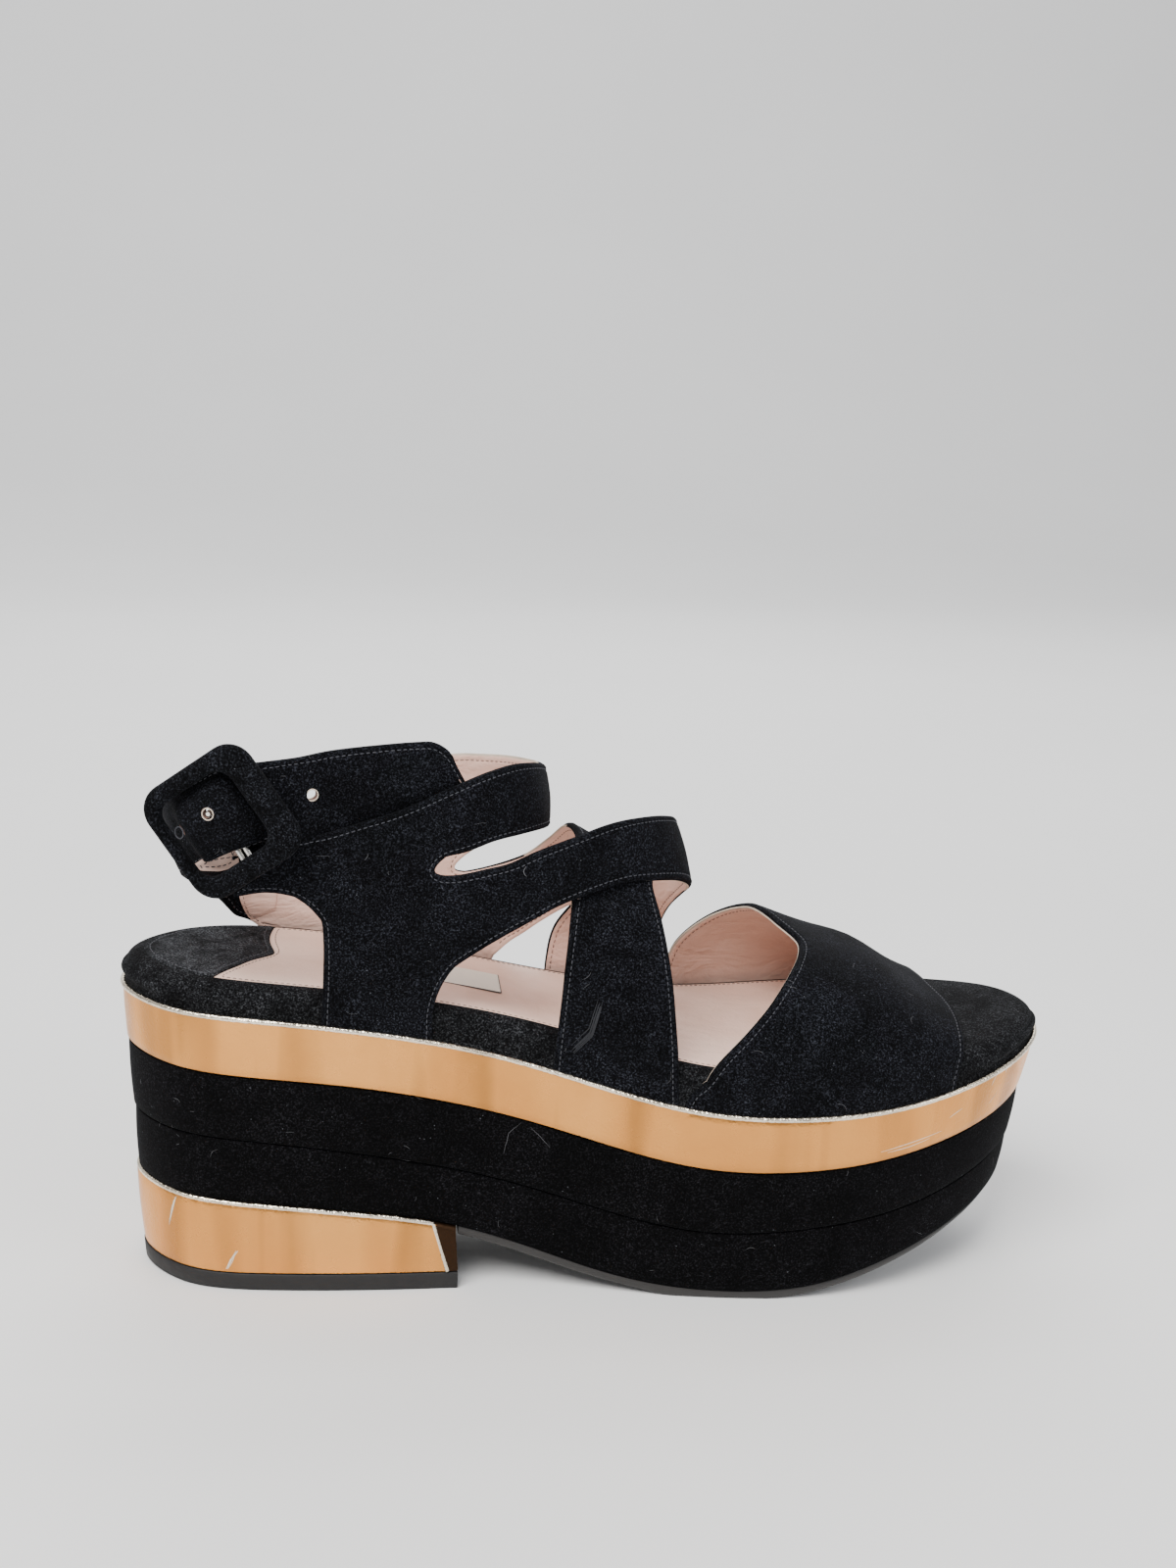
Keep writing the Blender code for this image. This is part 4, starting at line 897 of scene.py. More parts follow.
def shell(name, slot, grids, mats, marks=None, thick=LEATHER, edge_drop=0.45, groove=0.26, strap=False, raw_rim=None,
          thread=THREAD, seam=None, corners=(), cutters=(), shift=None, replaced=True):
    """Leather sheet of real thickness, with rounded stitched edges and the last of mats on its cut edge.

    A strap also has a lining, mats[1], stitches on it, and feet that end in the platform."""
    points, faces, tags = welded(grids, marks or [no_marks(grid) for grid in grids])
    loops = rims(faces)
    for ring in loops if len(corners) else ():
        close = np.linalg.norm(points[ring][:, None] - np.array(corners)[None], axis=2).min(1) < SMOOTH_WITHIN
        for _ in range(40):
            points[ring[close]] = softened(points[ring], 1, True)[close]
    if seam is not None:
        near = nearest(seam, points) < SEAM_WITHIN
        near[np.concatenate(loops)] = False
        points = eased(points, faces, near)
    n = normals_of(points, faces)
    for ring in loops:
        n[ring] = unit(softened(n[ring], 3, True))
    on_foot = points[:, 2] < foot_line(points[:, 0]) + 0.25 if strap else np.zeros(len(points), bool)
    line = []
    for ring in loops:
        for here, there in zip(ring, np.roll(ring, -1)):
            if not (on_foot[here] or on_foot[there]):
                way = points[there] - points[here]
                steps = max(1, int(np.linalg.norm(way) / 0.3))
                line.append(points[here] + way * (np.arange(steps) / steps)[:, None])
    line = np.concatenate(line)
    d = nearest(line, points)
    sewn = groove * np.exp(-((d - STITCH_INSET) / 0.4) ** 2)
    outer = points - n * (edge_drop * np.exp(-(d / 0.4) ** 2) + sewn)[:, None]
    inner = points - n * (thick - 0.22 * np.exp(-(d / 0.35) ** 2) - 0.6 * sewn)[:, None]
    if shift is not None:
        outer, inner = outer + shift(outer), inner + shift(inner)
    count = len(points)
    all_points = [outer, inner]
    all_faces = faces + [[count + v for v in reversed(f)] for f in faces]
    look = [0] * len(faces) + [int(strap and tag == 0) for tag in tags]
    paths = []
    for ring in loops:
        m = len(ring)
        inward = unit(np.cross(n[ring], headings(points[ring], True)))
        raw = raw_rim(points[ring]) if raw_rim else np.full(m, True)
        proud = RAW_PROUD * softened(raw.astype(float)[:, None], 6, True) if raw_rim else 0.0
        levels = [ring]
        for u, out in ((0.28, 0.1), (0.6, 0.08), (0.63, proud - 0.04), (0.9, proud - 0.02)):
            levels.append(sum(map(len, all_points)) + np.arange(m))
            all_points.append(outer[ring] * (1 - u) + inner[ring] * u - inward * out)
        levels.append(ring + count)
        for k, (a, b) in enumerate(zip(levels, levels[1:])):
            for i in range(m):
                j = (i + 1) % m
                all_faces.append([a[j], a[i], b[i], b[j]])
                look.append(len(mats) - 1 if k >= 3 and raw[i] else 0)
        paths.append((ring, inward))
    obj = mesh_piece(name, (np.concatenate(all_points), all_faces), mats, slot, look, angle=62, replaced=replaced)
    if cutters:
        for cutter in cutters:
            m = obj.modifiers.new("Cut", "BOOLEAN")
            m.object, m.operation, m.solver, m.material_mode = cutter, "DIFFERENCE", "EXACT", "TRANSFER"
        cut = bpy.data.meshes.new_from_object(obj.evaluated_get(bpy.context.evaluated_depsgraph_get()))
        obj.modifiers.clear()
        obj.data = cut
        for cutter in cutters:
            bpy.data.objects.remove(cutter)
    surfaces = [(outer, faces, thread, "stitches")] if thread else []
    if strap:
        surfaces.append((inner, [f[::-1] for f in faces], PINK_THREAD, "inner_stitches"))
    for surface, its_faces, its_thread, label in surfaces:
        tree = bvhtree.BVHTree.FromPolygons([tuple(q) for q in surface], its_faces)
        made = {}
        for ring, inward in paths:
            for picked, closed in runs(~on_foot[ring]):
                goal = points[ring[picked]] + inward[picked] * STITCH_INSET
                clear = nearest(line, goal) > STITCH_INSET * 0.88
                if clear.sum() < 6:
                    continue
                goal, _ = evenly(softened(goal[clear], 4, closed), 0.9, closed)
                found = [tree.find_nearest(q) for q in goal]
                hit = softened(np.array([at for at, _, _, _ in found]), 1, closed)
                norm = unit(softened(np.array([normal for _, normal, _, _ in found]), 4, closed))
                dark = np.array([surface is inner and tags[face] == 1 for _, _, face, _ in found])
                for wanted, kind in ((~dark, its_thread), (dark, THREAD)):
                    for part, whole_ring in runs(wanted) if wanted.any() else ():
                        row = stitches_of(hit[part], norm[part], closed and whole_ring)
                        made.setdefault(kind.name, (kind, []))[1].append(row)
        for kind, parts in made.values():
            mesh_piece(f"{name}_{label}" if kind is its_thread else f"{name}_{label}_dark", joined(parts), [kind], slot)
    return obj


# Toe strap: its two edges, smoothed along the girth.
SHARE_END = 1.45
share, heel_side, toe_side = (np.array(c) for c in zip(*TOE_STRAP))
fine, dense = np.linspace(-SHARE_END, SHARE_END, 240), np.linspace(-SHARE_END, SHARE_END, 1200)
kernel = np.exp(-0.5 * (np.arange(-60, 61) / 18.0) ** 2)
edges_x = []
for side in (heel_side, toe_side):
    values = np.pad(np.interp(dense, share, side), 60, mode="edge")
    edges_x.append(np.interp(fine, dense, np.convolve(values, kernel / kernel.sum(), mode="valid")))
width = edges_x[1] - edges_x[0]
t = columns(width) / width[:, None]
grid = trimmed(np.stack([instep(edges_x[0][i] + width[i] * t[i], fine[i]) for i in range(len(fine))]))
shell("toe_strap_leather", "toe_strap", [grid], [STRAP_SUEDE, LINING, RAW_EDGE], strap=True,
      raw_rim=lambda p: p[:, 0] < 205)

# The buckle's own axes: along its strap, across it, and out of its face.
rise, turn, lean = (math.radians(v) for v in (BUCKLE_RISE, BUCKLE_TURN, BUCKLE_LEAN))
out = np.array([-math.sin(turn) * math.cos(lean), -math.cos(turn) * math.cos(lean), -math.sin(lean)])
along = np.array([math.cos(rise) * math.cos(turn), -math.cos(rise) * math.sin(turn), math.sin(rise)])
along -= out * (along @ out)
along /= np.linalg.norm(along)
buckle_axes = np.stack([along, np.cross(out, along), out])


def on_buckle(points):
    """Points given along, across and out of the buckle, in the shoe's frame."""
    return np.asarray(points, float) @ buckle_axes + np.array(BUCKLE_AT)


WINDOW_HALF = 10.7
WINDOW_SHIFT = (-2.1, 0.5)  # the window sits a little to the heel side of the frame
SWELL = 4.3               # how far the strap swells out through the window


def swell(points):
    """Outward swell of the strap inside the buckle's window."""
    local = (points - np.array(BUCKLE_AT)) @ buckle_axes.T
    room = WINDOW_HALF - 0.3
    u, v = (local[:, 0] - WINDOW_SHIFT[0]) / room, (local[:, 1] - WINDOW_SHIFT[1]) / room
    amount = np.clip(1 - np.abs(u) ** 4, 0, 1) * np.clip(1 - np.abs(v) ** 5, 0, 1)
    near = (local[:, 2] < 9) & (local[:, 2] > -8) & (points[:, 1] < -26)
    return (amount * near * SWELL * np.clip((local[:, 2] + 6.4) / 2.5, 0, 1))[:, None] * buckle_axes[2]


# Crossed straps: the ankle band, drawn down behind the collar and round at its tip.
BEHIND_DROP = 3.5
TIP_ROUND = 4.5
ankle_top, ankle_low, ankle_marks = smooth_rows(ANKLE_BAND, 1.0, (3, 6, *INNER_SEAM), 3)
rows = np.arange(len(ankle_top))
ankle_low[:, 2] -= BEHIND_DROP * (np.clip((ankle_low[:, 0] - 36.0) / 8.0, 0, 1) * (rows > ankle_marks[31]))
left = np.linalg.norm(ankle_top - ankle_top[-1], axis=1)
tip = np.where((left < TIP_ROUND) & (rows > ankle_marks[-3]))[0][0] - 1
more = np.linspace(tip, len(rows) - 1, 26)
tip_top, tip_low = (between(more, rows, edge) for edge in (ankle_top, ankle_low))
left = np.linalg.norm(tip_top - tip_top[-1], axis=1)
drop = TIP_ROUND - np.sqrt(np.maximum(TIP_ROUND**2 - (TIP_ROUND - left) ** 2, 0))
tip_top = tip_top + unit(tip_low - tip_top) * np.where(left < TIP_ROUND, drop, 0.0)[:, None]
ankle_top, ankle_low = np.concatenate([ankle_top[:tip], tip_top]), np.concatenate([ankle_low[:tip], tip_low])
sheets = [settle(strap_grid(ankle_low, ankle_top))]
seam = []
for table, (first, last), (at_first, at_last) in (
        (INSTEP_BAND, BAND_SEAM, (3, 6)), (FOREFOOT_STRAP, STRAP_SEAM, INNER_SEAM)):
    top, low, marks = smooth_rows(table, 1.0, (first, last))
    shared = ankle_low[ankle_marks[at_first]:ankle_marks[at_last] + 1]
    seam.append(shared)
    if table is FOREFOOT_STRAP:
        shared = shared[::-1]
    middle = between(np.linspace(marks[first], marks[last], len(shared)), np.arange(len(low)), low)
    top = np.concatenate([top[:marks[first]], shared, top[marks[last] + 1:]])
    low = np.concatenate([low[:marks[first]], middle, low[marks[last] + 1:]])
    sheets.append(trimmed(settle(strap_grid(top, low) if table is FOREFOOT_STRAP else strap_grid(low, top))))
marks = [no_marks(grid) for grid in sheets]
marks[0][ankle_marks[23]:] = 1


def circle(centre, out, radius, sides):
    """Ring of points round centre, facing out, which is level."""
    side = unit(np.cross(out, (0, 0, 1.0)))
    a = turns(sides)[:, None]
    return centre + radius * (np.cos(a) * side + np.sin(a) * np.cross(side, out))


CUT_SIDES = 28
hole_cutters, hole_rings = [], []
for number, (x, y, z, heading) in enumerate(HOLES):
    at, out = np.array((x, y, z)), np.array([math.cos(math.radians(heading)), math.sin(math.radians(heading)), 0.0])
    ends = [circle(at + out * reach, -out, HOLE_RADIUS, CUT_SIDES) for reach in (-4.5, 7.5)]
    quads = grid_faces(2, CUT_SIDES, round_cols=True)
    quads += [tuple(range(CUT_SIDES - 1, -1, -1)), tuple(range(CUT_SIDES, 2 * CUT_SIDES))]
    hole_cutters.append(mesh_object(f"hole_{number}", pos(np.concatenate(ends)).tolist(), quads, [HOLE_EDGE]))
    ring = circle(at + swell(at[None])[0] + out * 0.12, out, HOLE_RADIUS + 0.08, 36)
    hole_rings.append(tube_of(ring, 0.15, 8, up=out))


def raw_edges(p):
    """Where the cut edge of the lining shows: under the instep band and round the inner collar."""
    x, y, z = p.T
    return ((x > 114) & (y < 4) & (z > 98) & (z < 113)) | ((y > 6) & (z > 104))


shell("crossed_straps_leather", "crossed_straps", sheets, [STRAP_SUEDE, LINING, HOLE_EDGE, RAW_EDGE], marks, strap=True,
      raw_rim=raw_edges, seam=np.concatenate(seam), corners=[end for line in seam for end in (line[0], line[-1])],
      cutters=hole_cutters, shift=swell)

# The lining of the inner quarter ends in a curve behind the heel.
band = sheets[0]
over = np.broadcast_to((band[:, -1] - band[:, 0])[:, None], band.shape)
face = band - unit(np.cross(over, np.gradient(band, axis=0))) * (LEATHER + 0.30)
first, last = ankle_marks[22] + 1, ankle_marks[25]
across = np.linspace(0.6, band.shape[1] - 1.6, 34)
lines, stops = [], []
for c in across:
    line = np.stack([between([c], np.arange(band.shape[1]), face[r])[0] for r in range(first, last)])
    gap = line[:, 0] - (28.6 + 4.0 * np.clip((92.0 - line[:, 2]) / 8.0, 0, 1) ** 1.6)
    stop = np.argmax(gap < 0) if (gap < 0).any() else len(line) - 1
    lines.append(line)
    stops.append(stop - 1 + gap[stop - 1] / (gap[stop - 1] - gap[stop]))
stops = np.polyval(np.polyfit(across, stops, 3), across)
patch = np.array([between(np.linspace(0, stop, 26), np.arange(len(line)), line) for line, stop in zip(lines, stops)])
if np.cross(patch[5, 6] - patch[5, 5], patch[6, 5] - patch[5, 5])[1] > 0:
    patch = patch[::-1]
shell("lining_end", "crossed_straps", [patch], [LINING], thick=0.35, edge_drop=0.12, groove=0.0, thread=None, replaced=False)
seam_line = patch[:, -1] + unit(patch[:, -2] - patch[:, -1]) * 1.2
facing = np.broadcast_to((0.0, -1.0, 0.1), (len(seam_line) - 4, 3))
mesh_piece("lining_end_stitches", stitches_of(softened(seam_line[2:-2], 2, False), facing, radius=0.12), [PINK_THREAD],
           "crossed_straps")
mesh_piece("hole_edges", joined(hole_rings[1:]), [RAW_EDGE], "crossed_straps")
mesh_piece("rear_hole_edge", joined(hole_rings[:1]), [THREAD], "crossed_straps")

# Footbed covers.
pad_edge = through(*zip(*PAD_EDGE))


def cover(x_from, x_to, rows):
    """Grid over the footbed between two edges, given by the share across it."""
    outer_y, inner_y, _, _ = plan(SOCK_INSET)
    half = np.concatenate([np.array(SHELL_EDGES), np.linspace(3.0, 31.0, 20)[1:]])
    d = np.concatenate([half, 62.0 - half[-2::-1]]) / 31.0 - 1
    near = np.array(SHELL_EDGES) / float(np.mean(x_to(d) - x_from(d)))
    grid = []
    for k in np.concatenate([near, np.linspace(near[-1], 1 - near[-1], rows)[1:-1], 1 - near[::-1]]):
        x = x_from(d) + (x_to(d) - x_from(d)) * k
        grid.append(np.stack([x, outer_y(x) + (inner_y(x) - outer_y(x)) * (d + 1) / 2, footbed_top(x)], 1))
    return np.array(grid)


sock = cover(lambda s: pad_edge(s) + GAP, lambda s: 0 * s + SOCK_END, 110)
x, y = sock[..., 0], sock[..., 1]
wave = 0.12 * np.sin(x / 9.0 + y / 17.0) + 0.08 * np.sin(x / 4.3 - y / 6.0)
inside = np.clip((np.minimum(y - y[:, :1], y[:, -1:] - y) - 2.0) / 6.0, 0, 1)
sock[..., 2] += wave * inside + 0.15
shell("sock_leather", "sock", [sock.transpose(1, 0, 2)], [PINK, RAW_EDGE], thick=1.05, edge_drop=0.35, groove=0.22,
      thread=PINK_THREAD)
pad = cover(lambda s: 0 * s + SOCK_INSET + 0.1, pad_edge, 40).transpose(1, 0, 2) + (0, 0, 0.45)
heel_pad = shell("heel_pad_suede", "heel_pad", [pad], [PAD_SUEDE], thick=1.4, edge_drop=0.3, groove=0.2)

# The sock's label, bare, with a fine dark line round it.
f, s = np.meshgrid(np.linspace(0, 1, 40), np.linspace(0, 1, 30))
label = np.stack([72.0 + 26.3 * f + 0.6 * s, -8.0 + 15.2 * s, 0 * s], -1)
label[..., 2] = footbed_top(label[..., 0]) + 0.42
shell("label_plain", "sock", [label], [LABEL], thick=0.45, edge_drop=0.1, groove=0.0, thread=None, replaced=False)
label_edge = np.array([(x, -8.1, 0.0) for x in np.linspace(72.0, 98.2, 60)]
                      + [(98.3 + 0.6 * t, -8.1 + 15.3 * t, 0.0) for t in np.linspace(0.02, 1, 30)])
label_edge[:, 2] = footbed_top(label_edge[:, 0]) + 0.30
mesh_piece("label_edge", tube_of(label_edge, 0.13, 6, False), [THREAD], "sock")


# Buckle.
def rounded_square(half, radius, shift=(0.0, 0.0)):
    """Outline of a rounded square, with the same stations whatever its size."""
    flat, found = half - radius, []
    for corner in range(4):
        base = corner * math.pi / 2
        c, s = math.cos(base), math.sin(base)
        centre = np.array([c - s, s + c]) * flat
        for a in np.linspace(base, base + math.pi / 2, 13):
            found.append(centre + radius * np.array([math.cos(a), math.sin(a)]))
        found += [centre + radius * np.array([-s, c]) - np.array([c, s]) * (2 * flat) * k / 12 for k in range(1, 12)]
    return np.array(found) + shift


def padding(angle):
    """Point of a unit superellipse, the section of the padded frame."""
    c, s = math.cos(angle), math.sin(angle)
    return math.copysign(abs(c) ** (2 / 2.4), c), math.copysign(abs(s) ** (2 / 2.4), s)


# The strap's turning, seen in the slit beside the window, and the strap behind it.
low_edge = np.array(((-15.0, -6.9), (-14.0, -7.7), (-10.5, -9.9), (-7.8, -10.8), (-5.2, -11.2)))
share = np.linspace(0, 1, 40)
low_edge = between(share, np.linspace(0, 1, 5), low_edge)
high_edge = np.stack([-15.2 + 13.9 * share, np.full(40, -5.2)], 1)
t = np.linspace(0, 1, 24)[:, None, None]
tab = low_edge[None] * (1 - t) + high_edge[None] * t
tab = on_buckle(np.concatenate([tab, -3.5 - 0.9 * (1 - t) ** 2 + 0 * tab[..., :1]], 2))
shell("strap_turning", "crossed_straps", [tab], [LINING, RAW_EDGE], thick=0.6, edge_drop=0.15, groove=0.12, replaced=False)
f, s = np.meshgrid(np.linspace(0, 1, 30), np.linspace(0, 1, 20))
backing = on_buckle(np.stack([-4.5 + 16.5 * f, -13.0 + 8.5 * s, -5.6 + 0 * s], -1))
shell("strap_backing", "crossed_straps", [backing], [STRAP_SUEDE], thick=0.6, edge_drop=0.15, groove=0.0, thread=None,
      replaced=False)

outside, window = rounded_square(BUCKLE_SIDE / 2, 6.6), rounded_square(WINDOW_HALF, 4.2, WINDOW_SHIFT)
sections = []
for far, close in zip(outside, window):
    middle, ray = (far + close) / 2, (far - close) / 2
    sections.append([(*(middle + ray * padding(v)[0]), BUCKLE_DEEP / 2 * 1.08 * padding(v)[1]) for v in turns(28)])
sections = np.array(sections)
faces = grid_faces(*sections.shape[:2], 0, True, True)
buckle = mesh_piece("buckle_frame_suede", (on_buckle(sections).reshape(-1, 3), faces), [BUCKLE_SUEDE], "buckle_frame",
                    angle=80, replaced=True)

# The bar goes down behind the strap from both sides of the frame, and carries the peg.
(c0, n0), (c1, n1) = BAR_ENDS
FOOT, CORNER = -BUCKLE_DEEP / 2 + 0.3, 2.2
quarter = np.linspace(0, math.pi / 2, 7)
bar_path = [(c0, FOOT), (c0, n0 + CORNER)]
bar_path += [(c0 - CORNER * (1 - math.cos(a)), n0 + CORNER - CORNER * math.sin(a)) for a in quarter[1:]]
bar_path += [(c1 + CORNER * (1 - math.sin(a)), n1 + CORNER * (1 - math.cos(a))) for a in quarter] + [(c1, FOOT)]
bar_path, _ = evenly(on_buckle([(BAR_ALONG, c, n) for c, n in bar_path]), 0.7)
bar_parts = [tube_of(bar_path, BAR_RADIUS, 14, False, up=buckle_axes[0])]


def bar_depth(across):
    return n1 + (n0 - n1) * (across - c1) / (c0 - c1)


peg_ends = bar_depth(PEG_ACROSS), PEG_TIP + SWELL - 1.3
peg_path = on_buckle([(BAR_ALONG, PEG_ACROSS, n) for n in np.linspace(*peg_ends, 14)])
peg_radius = np.full(14, PEG_RADIUS)
peg_radius[-2:] *= (0.95, 0.7)
bar_parts.append(tube_of(peg_path, peg_radius, 14, False, up=buckle_axes[0]))
for at in (-8.3, -6.6, -4.9):
    r, depth = BAR_RADIUS + 0.15, bar_depth(at)
    wound = on_buckle([(BAR_ALONG + r * math.cos(v), at, depth + r * math.sin(v)) for v in turns(20)])
    bar_parts.append(tube_of(wound, 0.4, 8, up=buckle_axes[1]))
for at in (-2.9, -0.9):
    rod = on_buckle([(at, c, -4.0 - 0.1 * (c + 7.0)) for c in np.linspace(-6.4, -10.9, 8)])
    bar_parts.append(tube_of(rod, 0.72, 14, False, up=buckle_axes[2]))
mesh_piece("buckle_bar_steel", joined(bar_parts), [STEEL], "buckle_bar", angle=60, replaced=True)


# Wear and lint.
class Skin:
    """Surface of a finished piece, to lay marks on."""

    def __init__(self, name):
        mesh = bpy.data.objects[name].data
        self.points = np.array([v.co for v in mesh.vertices]) / MM + (CENTRE_X, CENTRE_Y, 0)
        self.faces = [tuple(p.vertices) for p in mesh.polygons]
        self.tree = bvhtree.BVHTree.FromPolygons([tuple(p) for p in self.points], self.faces)

    def stroke(self, path, radius, lift=0.03):
        """A fine tapered line along the surface, near the points given."""
        path, share = evenly(np.asarray(path, float), 0.35)
        found = [self.tree.find_nearest(p) for p in path]
        on, normal = np.array([hit[0] for hit in found]), unit(np.array([hit[1] for hit in found]))
        size = radius * (0.35 + 0.65 * np.sin(np.pi * np.clip(share, 0.02, 0.98)))
        return tube_of(softened(on, 1, False) + normal * lift, size, 5, False, up=normal.mean(0), flat=0.5)

    def hairs(self, count, shown):
        """Short curved hairs at random places where shown() is true of the point and normal."""
        made = []
        while len(made) < count:
            face = self.faces[rng.integers(len(self.faces))]
            at = self.points[list(face)].mean(0)
            normal = self.tree.find_nearest(at)[1]
            angle, size, bend = rng.uniform(0, math.tau), rng.uniform(1.0, 3.6), rng.uniform(-0.5, 0.5)
            if not shown(at, normal):
                continue
            a = unit(np.cross(normal, (0.3, 0.2, 1.0)))
            b = np.cross(normal, a)
            t = np.linspace(-0.5, 0.5, 9)[:, None] * size
            ahead, aside = a * math.cos(angle) + b * math.sin(angle), b * math.cos(angle) - a * math.sin(angle)
            path = at + ahead * t + aside * (bend * t**2 / size * 2)
            made.append(self.stroke(path, 0.036 * rng.uniform(0.7, 1.2), lift=0.10))
        return made


def outside_face(p, n):
    return n[1] < -0.3


def near_side(p, n):
    return n[1] < 0.2 and n[2] > -0.2 and p[1] < 0


def top_or_outside(p, n):
    return n[2] > 0.3 or n[1] < -0.3


rng = np.random.default_rng(11)
straps, upper = Skin("crossed_straps_leather"), Skin("upper_layer")
for name, slot, skin, count, shown in (
        ("strap_lint", "crossed_straps", straps, 30, outside_face),
        ("toe_strap_lint", "toe_strap", Skin("toe_strap_leather"), 12, near_side),
        ("platform_lint", "platform_upper", upper, 14, outside_face),
        ("platform_lower_lint", "platform_lower", Skin("lower_layer"), 12, outside_face),
        ("footbed_lint", "footbed", Skin("footbed_wrap"), 16, top_or_outside),
        ("buckle_lint", "buckle_frame", Skin("buckle_frame_suede"), 16, outside_face)):
    mesh_piece(name, joined(skin.hairs(count, shown)), [FLUFF], slot)
scuff = np.array([(114.4, -32.8, 67.6), (118.6, -33.9, 72.4), (120.6, -34.4, 80.4)])
smear = [straps.stroke(scuff + (k * 0.14, 0, -0.1 * k + rng.uniform(-1.2, 1.2)), 0.15, 0.0) for k in range(-4, 5)]
mesh_piece("strap_scuff", joined(smear), [SCUFF], "crossed_straps")
hair = [(100.9, -31.5, 115.4), (100.2, -31.5, 114.3), (100.6, -31.5, 113.2), (101.2, -31.5, 112.9)]
mesh_piece("strap_hair", straps.stroke(hair, 0.09, 0.1), [FLUFF], "crossed_straps")

# Two groups of scratches on the heel, and single ones on the band at the toe, each from one end to the other.
HEEL_SCRATCHES = (((14.6, -20.0, 24.2), (12.5, -17.8, 15.2), 7), ((31.0, -26.0, 13.0), (27.7, -24.9, 5.8), 8))
TOE_SCRATCHES = (
    ((230.3, -25.8, 56.6), (229.0, -26.7, 53.9)), ((233.4, -23.6, 58.0), (234.6, -22.7, 55.9)),
    ((235.3, -22.2, 58.6), (234.2, -23.1, 56.4)), ((236.6, -21.3, 58.9), (236.2, -21.6, 56.8)),
    ((239.4, -19.0, 59.6), (238.8, -19.5, 57.2)), ((238.0, -20.2, 59.2), (238.6, -19.7, 58.0)),
    ((229.5, -26.4, 48.2), (232.0, -24.8, 50.4)), ((215.0, -33.8, 48.0), (219.0, -32.0, 49.8)),
    ((195.0, -40.8, 41.6), (213.0, -34.4, 44.6)), ((197.0, -40.3, 41.2), (209.5, -36.0, 43.2)),
)
block_skin, band_skin = Skin("heel_block_leather"), Skin("gold_band")
chips = []
for start, end, count in HEEL_SCRATCHES:
    start, end = np.array(start), np.array(end)
    for k in range(count):
        a, b = np.sort(rng.uniform(0, 1, 2))
        line = start + (end - start) * np.array([[a], [(a + b) / 2], [min(1.0, b + 0.2)]])
        line = line + rng.uniform(-0.45, 0.45, (3, 1)) * (1.0, 0, 0.2)
        chips.append(block_skin.stroke(line, rng.uniform(0.07, 0.15)))
mesh_piece("heel_scratches", joined(chips), [WORN_FOIL], "heel_block")
chips = []
for start, end in TOE_SCRATCHES:
    middle = (np.array(start) + np.array(end)) / 2 + rng.uniform(-0.3, 0.3, 3)
    chips.append(band_skin.stroke([start, middle, end], rng.uniform(0.08, 0.13)))
mesh_piece("toe_scratches", joined(chips), [WORN_FOIL], "platform_band")
long_hairs = [upper.stroke(path, 0.05, 0.12) for path in (
    [(97.4, -37.0, 38.0), (98.4, -37.0, 44.0), (101.4, -37.0, 47.0)],
    [(103.6, -37.5, 46.0), (106.4, -37.5, 43.0), (108.6, -37.5, 40.4)])]
mesh_piece("platform_hairs", joined(long_hairs), [FLUFF], "platform_upper")

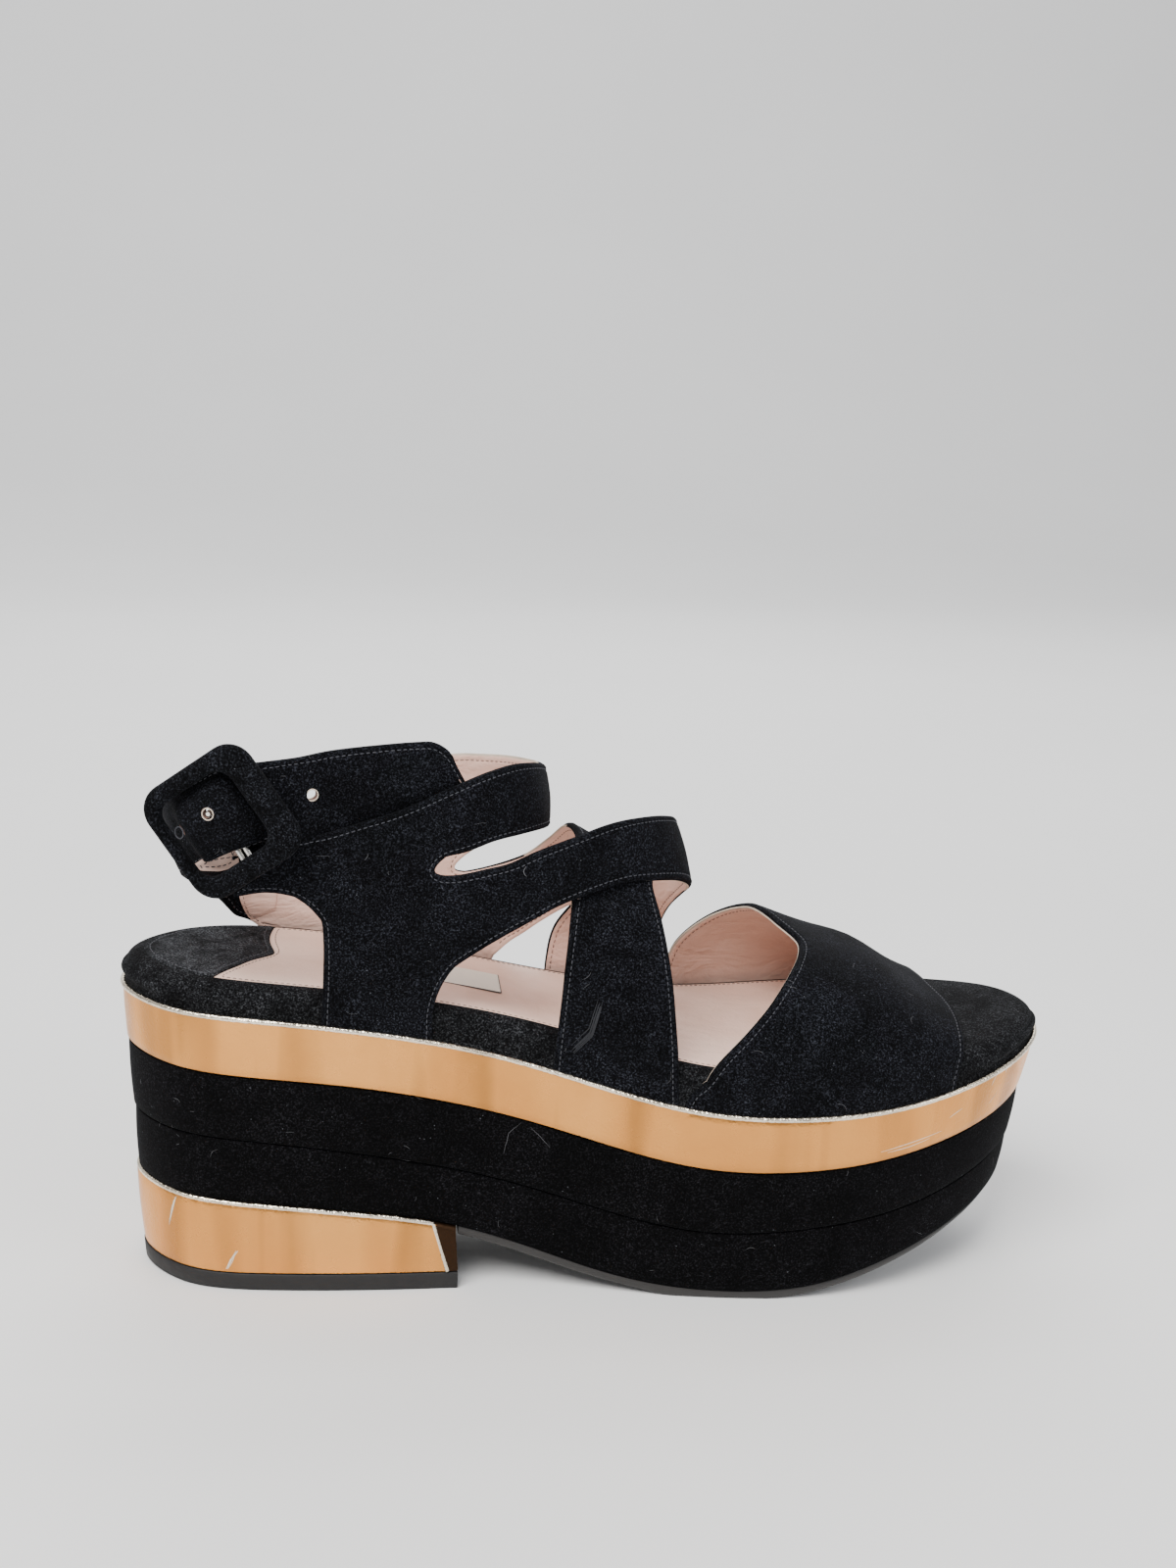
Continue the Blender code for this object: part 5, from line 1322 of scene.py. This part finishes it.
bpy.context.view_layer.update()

# Floor with a curved backdrop, lamps and camera, in metres.
bend = [(1.4 + 1.2 * math.sin(v), 1.2 - 1.2 * math.cos(v)) for v in np.linspace(0, math.pi / 2, 25)[1:]]
profile = [(-4.0, 0.0), (1.4, 0.0)] + bend + [(2.6, 5.0)]
paint = Net("floor_paint", 0.7, specular=0.25)
uneven = paint.ramp(paint.noise(3.0, 4.0), (0.3, 0.0), (0.7, 1.0))
paint.link(paint.mix(uneven, (0.86, 0.86, 0.855), (0.83, 0.83, 0.825)), "Base Color")
floor_points = [(x, y, z) for y, z in profile for x in (-6.0, 6.0)]
floor = mesh_object("floor", floor_points, grid_faces(len(profile), 2), [paint.material])
floor.data.shade_smooth()

world = bpy.data.worlds.new("studio")
world.use_nodes = True
sky = world.node_tree.nodes["Background"].inputs
sky["Color"].default_value, sky["Strength"].default_value = (0.95, 0.96, 1.0, 1), 0.5
bpy.context.scene.world = world
for name, at, target, width, height, energy, colour in (
        ("key", (-0.55, -0.75, 1.25), (0, 0, 0.06), 0.9, 0.9, 34.0, (1.0, 0.985, 0.96)),
        ("fill", (1.0, -0.7, 0.7), (0, 0, 0.06), 0.9, 0.7, 7.0, (0.95, 0.97, 1.0)),
        ("backdrop", (0.0, 0.9, 1.9), (0, 2.3, 0.5), 2.6, 0.8, 26.0, (1, 1, 1)),
        ("back", (0.2, 1.1, 0.9), (0, 0, 0.06), 1.4, 0.7, 8.0, (1, 1, 1))):
    light = bpy.data.lights.new(name, "AREA")
    light.shape, light.size, light.size_y, light.energy, light.color = "RECTANGLE", width, height, energy, colour
    lamp = in_scene(name, light)
    lamp.location = at
    lamp.rotation_euler = (Vector(target) - Vector(at)).to_track_quat("-Z", "Y").to_euler()

heading, pitch, roll = math.radians(8.678), math.radians(12.518), math.radians(2.441)
forward = np.array([math.cos(pitch) * math.sin(heading), math.cos(pitch) * math.cos(heading), -math.sin(pitch)])
level_right = np.array([math.cos(heading), -math.sin(heading), 0.0])
level_up = np.cross(level_right, forward)
right = level_right * math.cos(roll) + level_up * math.sin(roll)
up = level_up * math.cos(roll) - level_right * math.sin(roll)
lens = bpy.data.cameras.new("camera")
lens.lens, lens.sensor_width, lens.sensor_fit, lens.clip_start = 45.0, 36.0, "AUTO", 0.02
camera = in_scene("camera", lens)
turned = Matrix(np.stack([right, up, -forward], 1).tolist()).to_4x4()
turned.translation = Vector((-0.08086, -0.49923, 0.24166))
camera.matrix_world = turned
bpy.context.scene.camera = camera
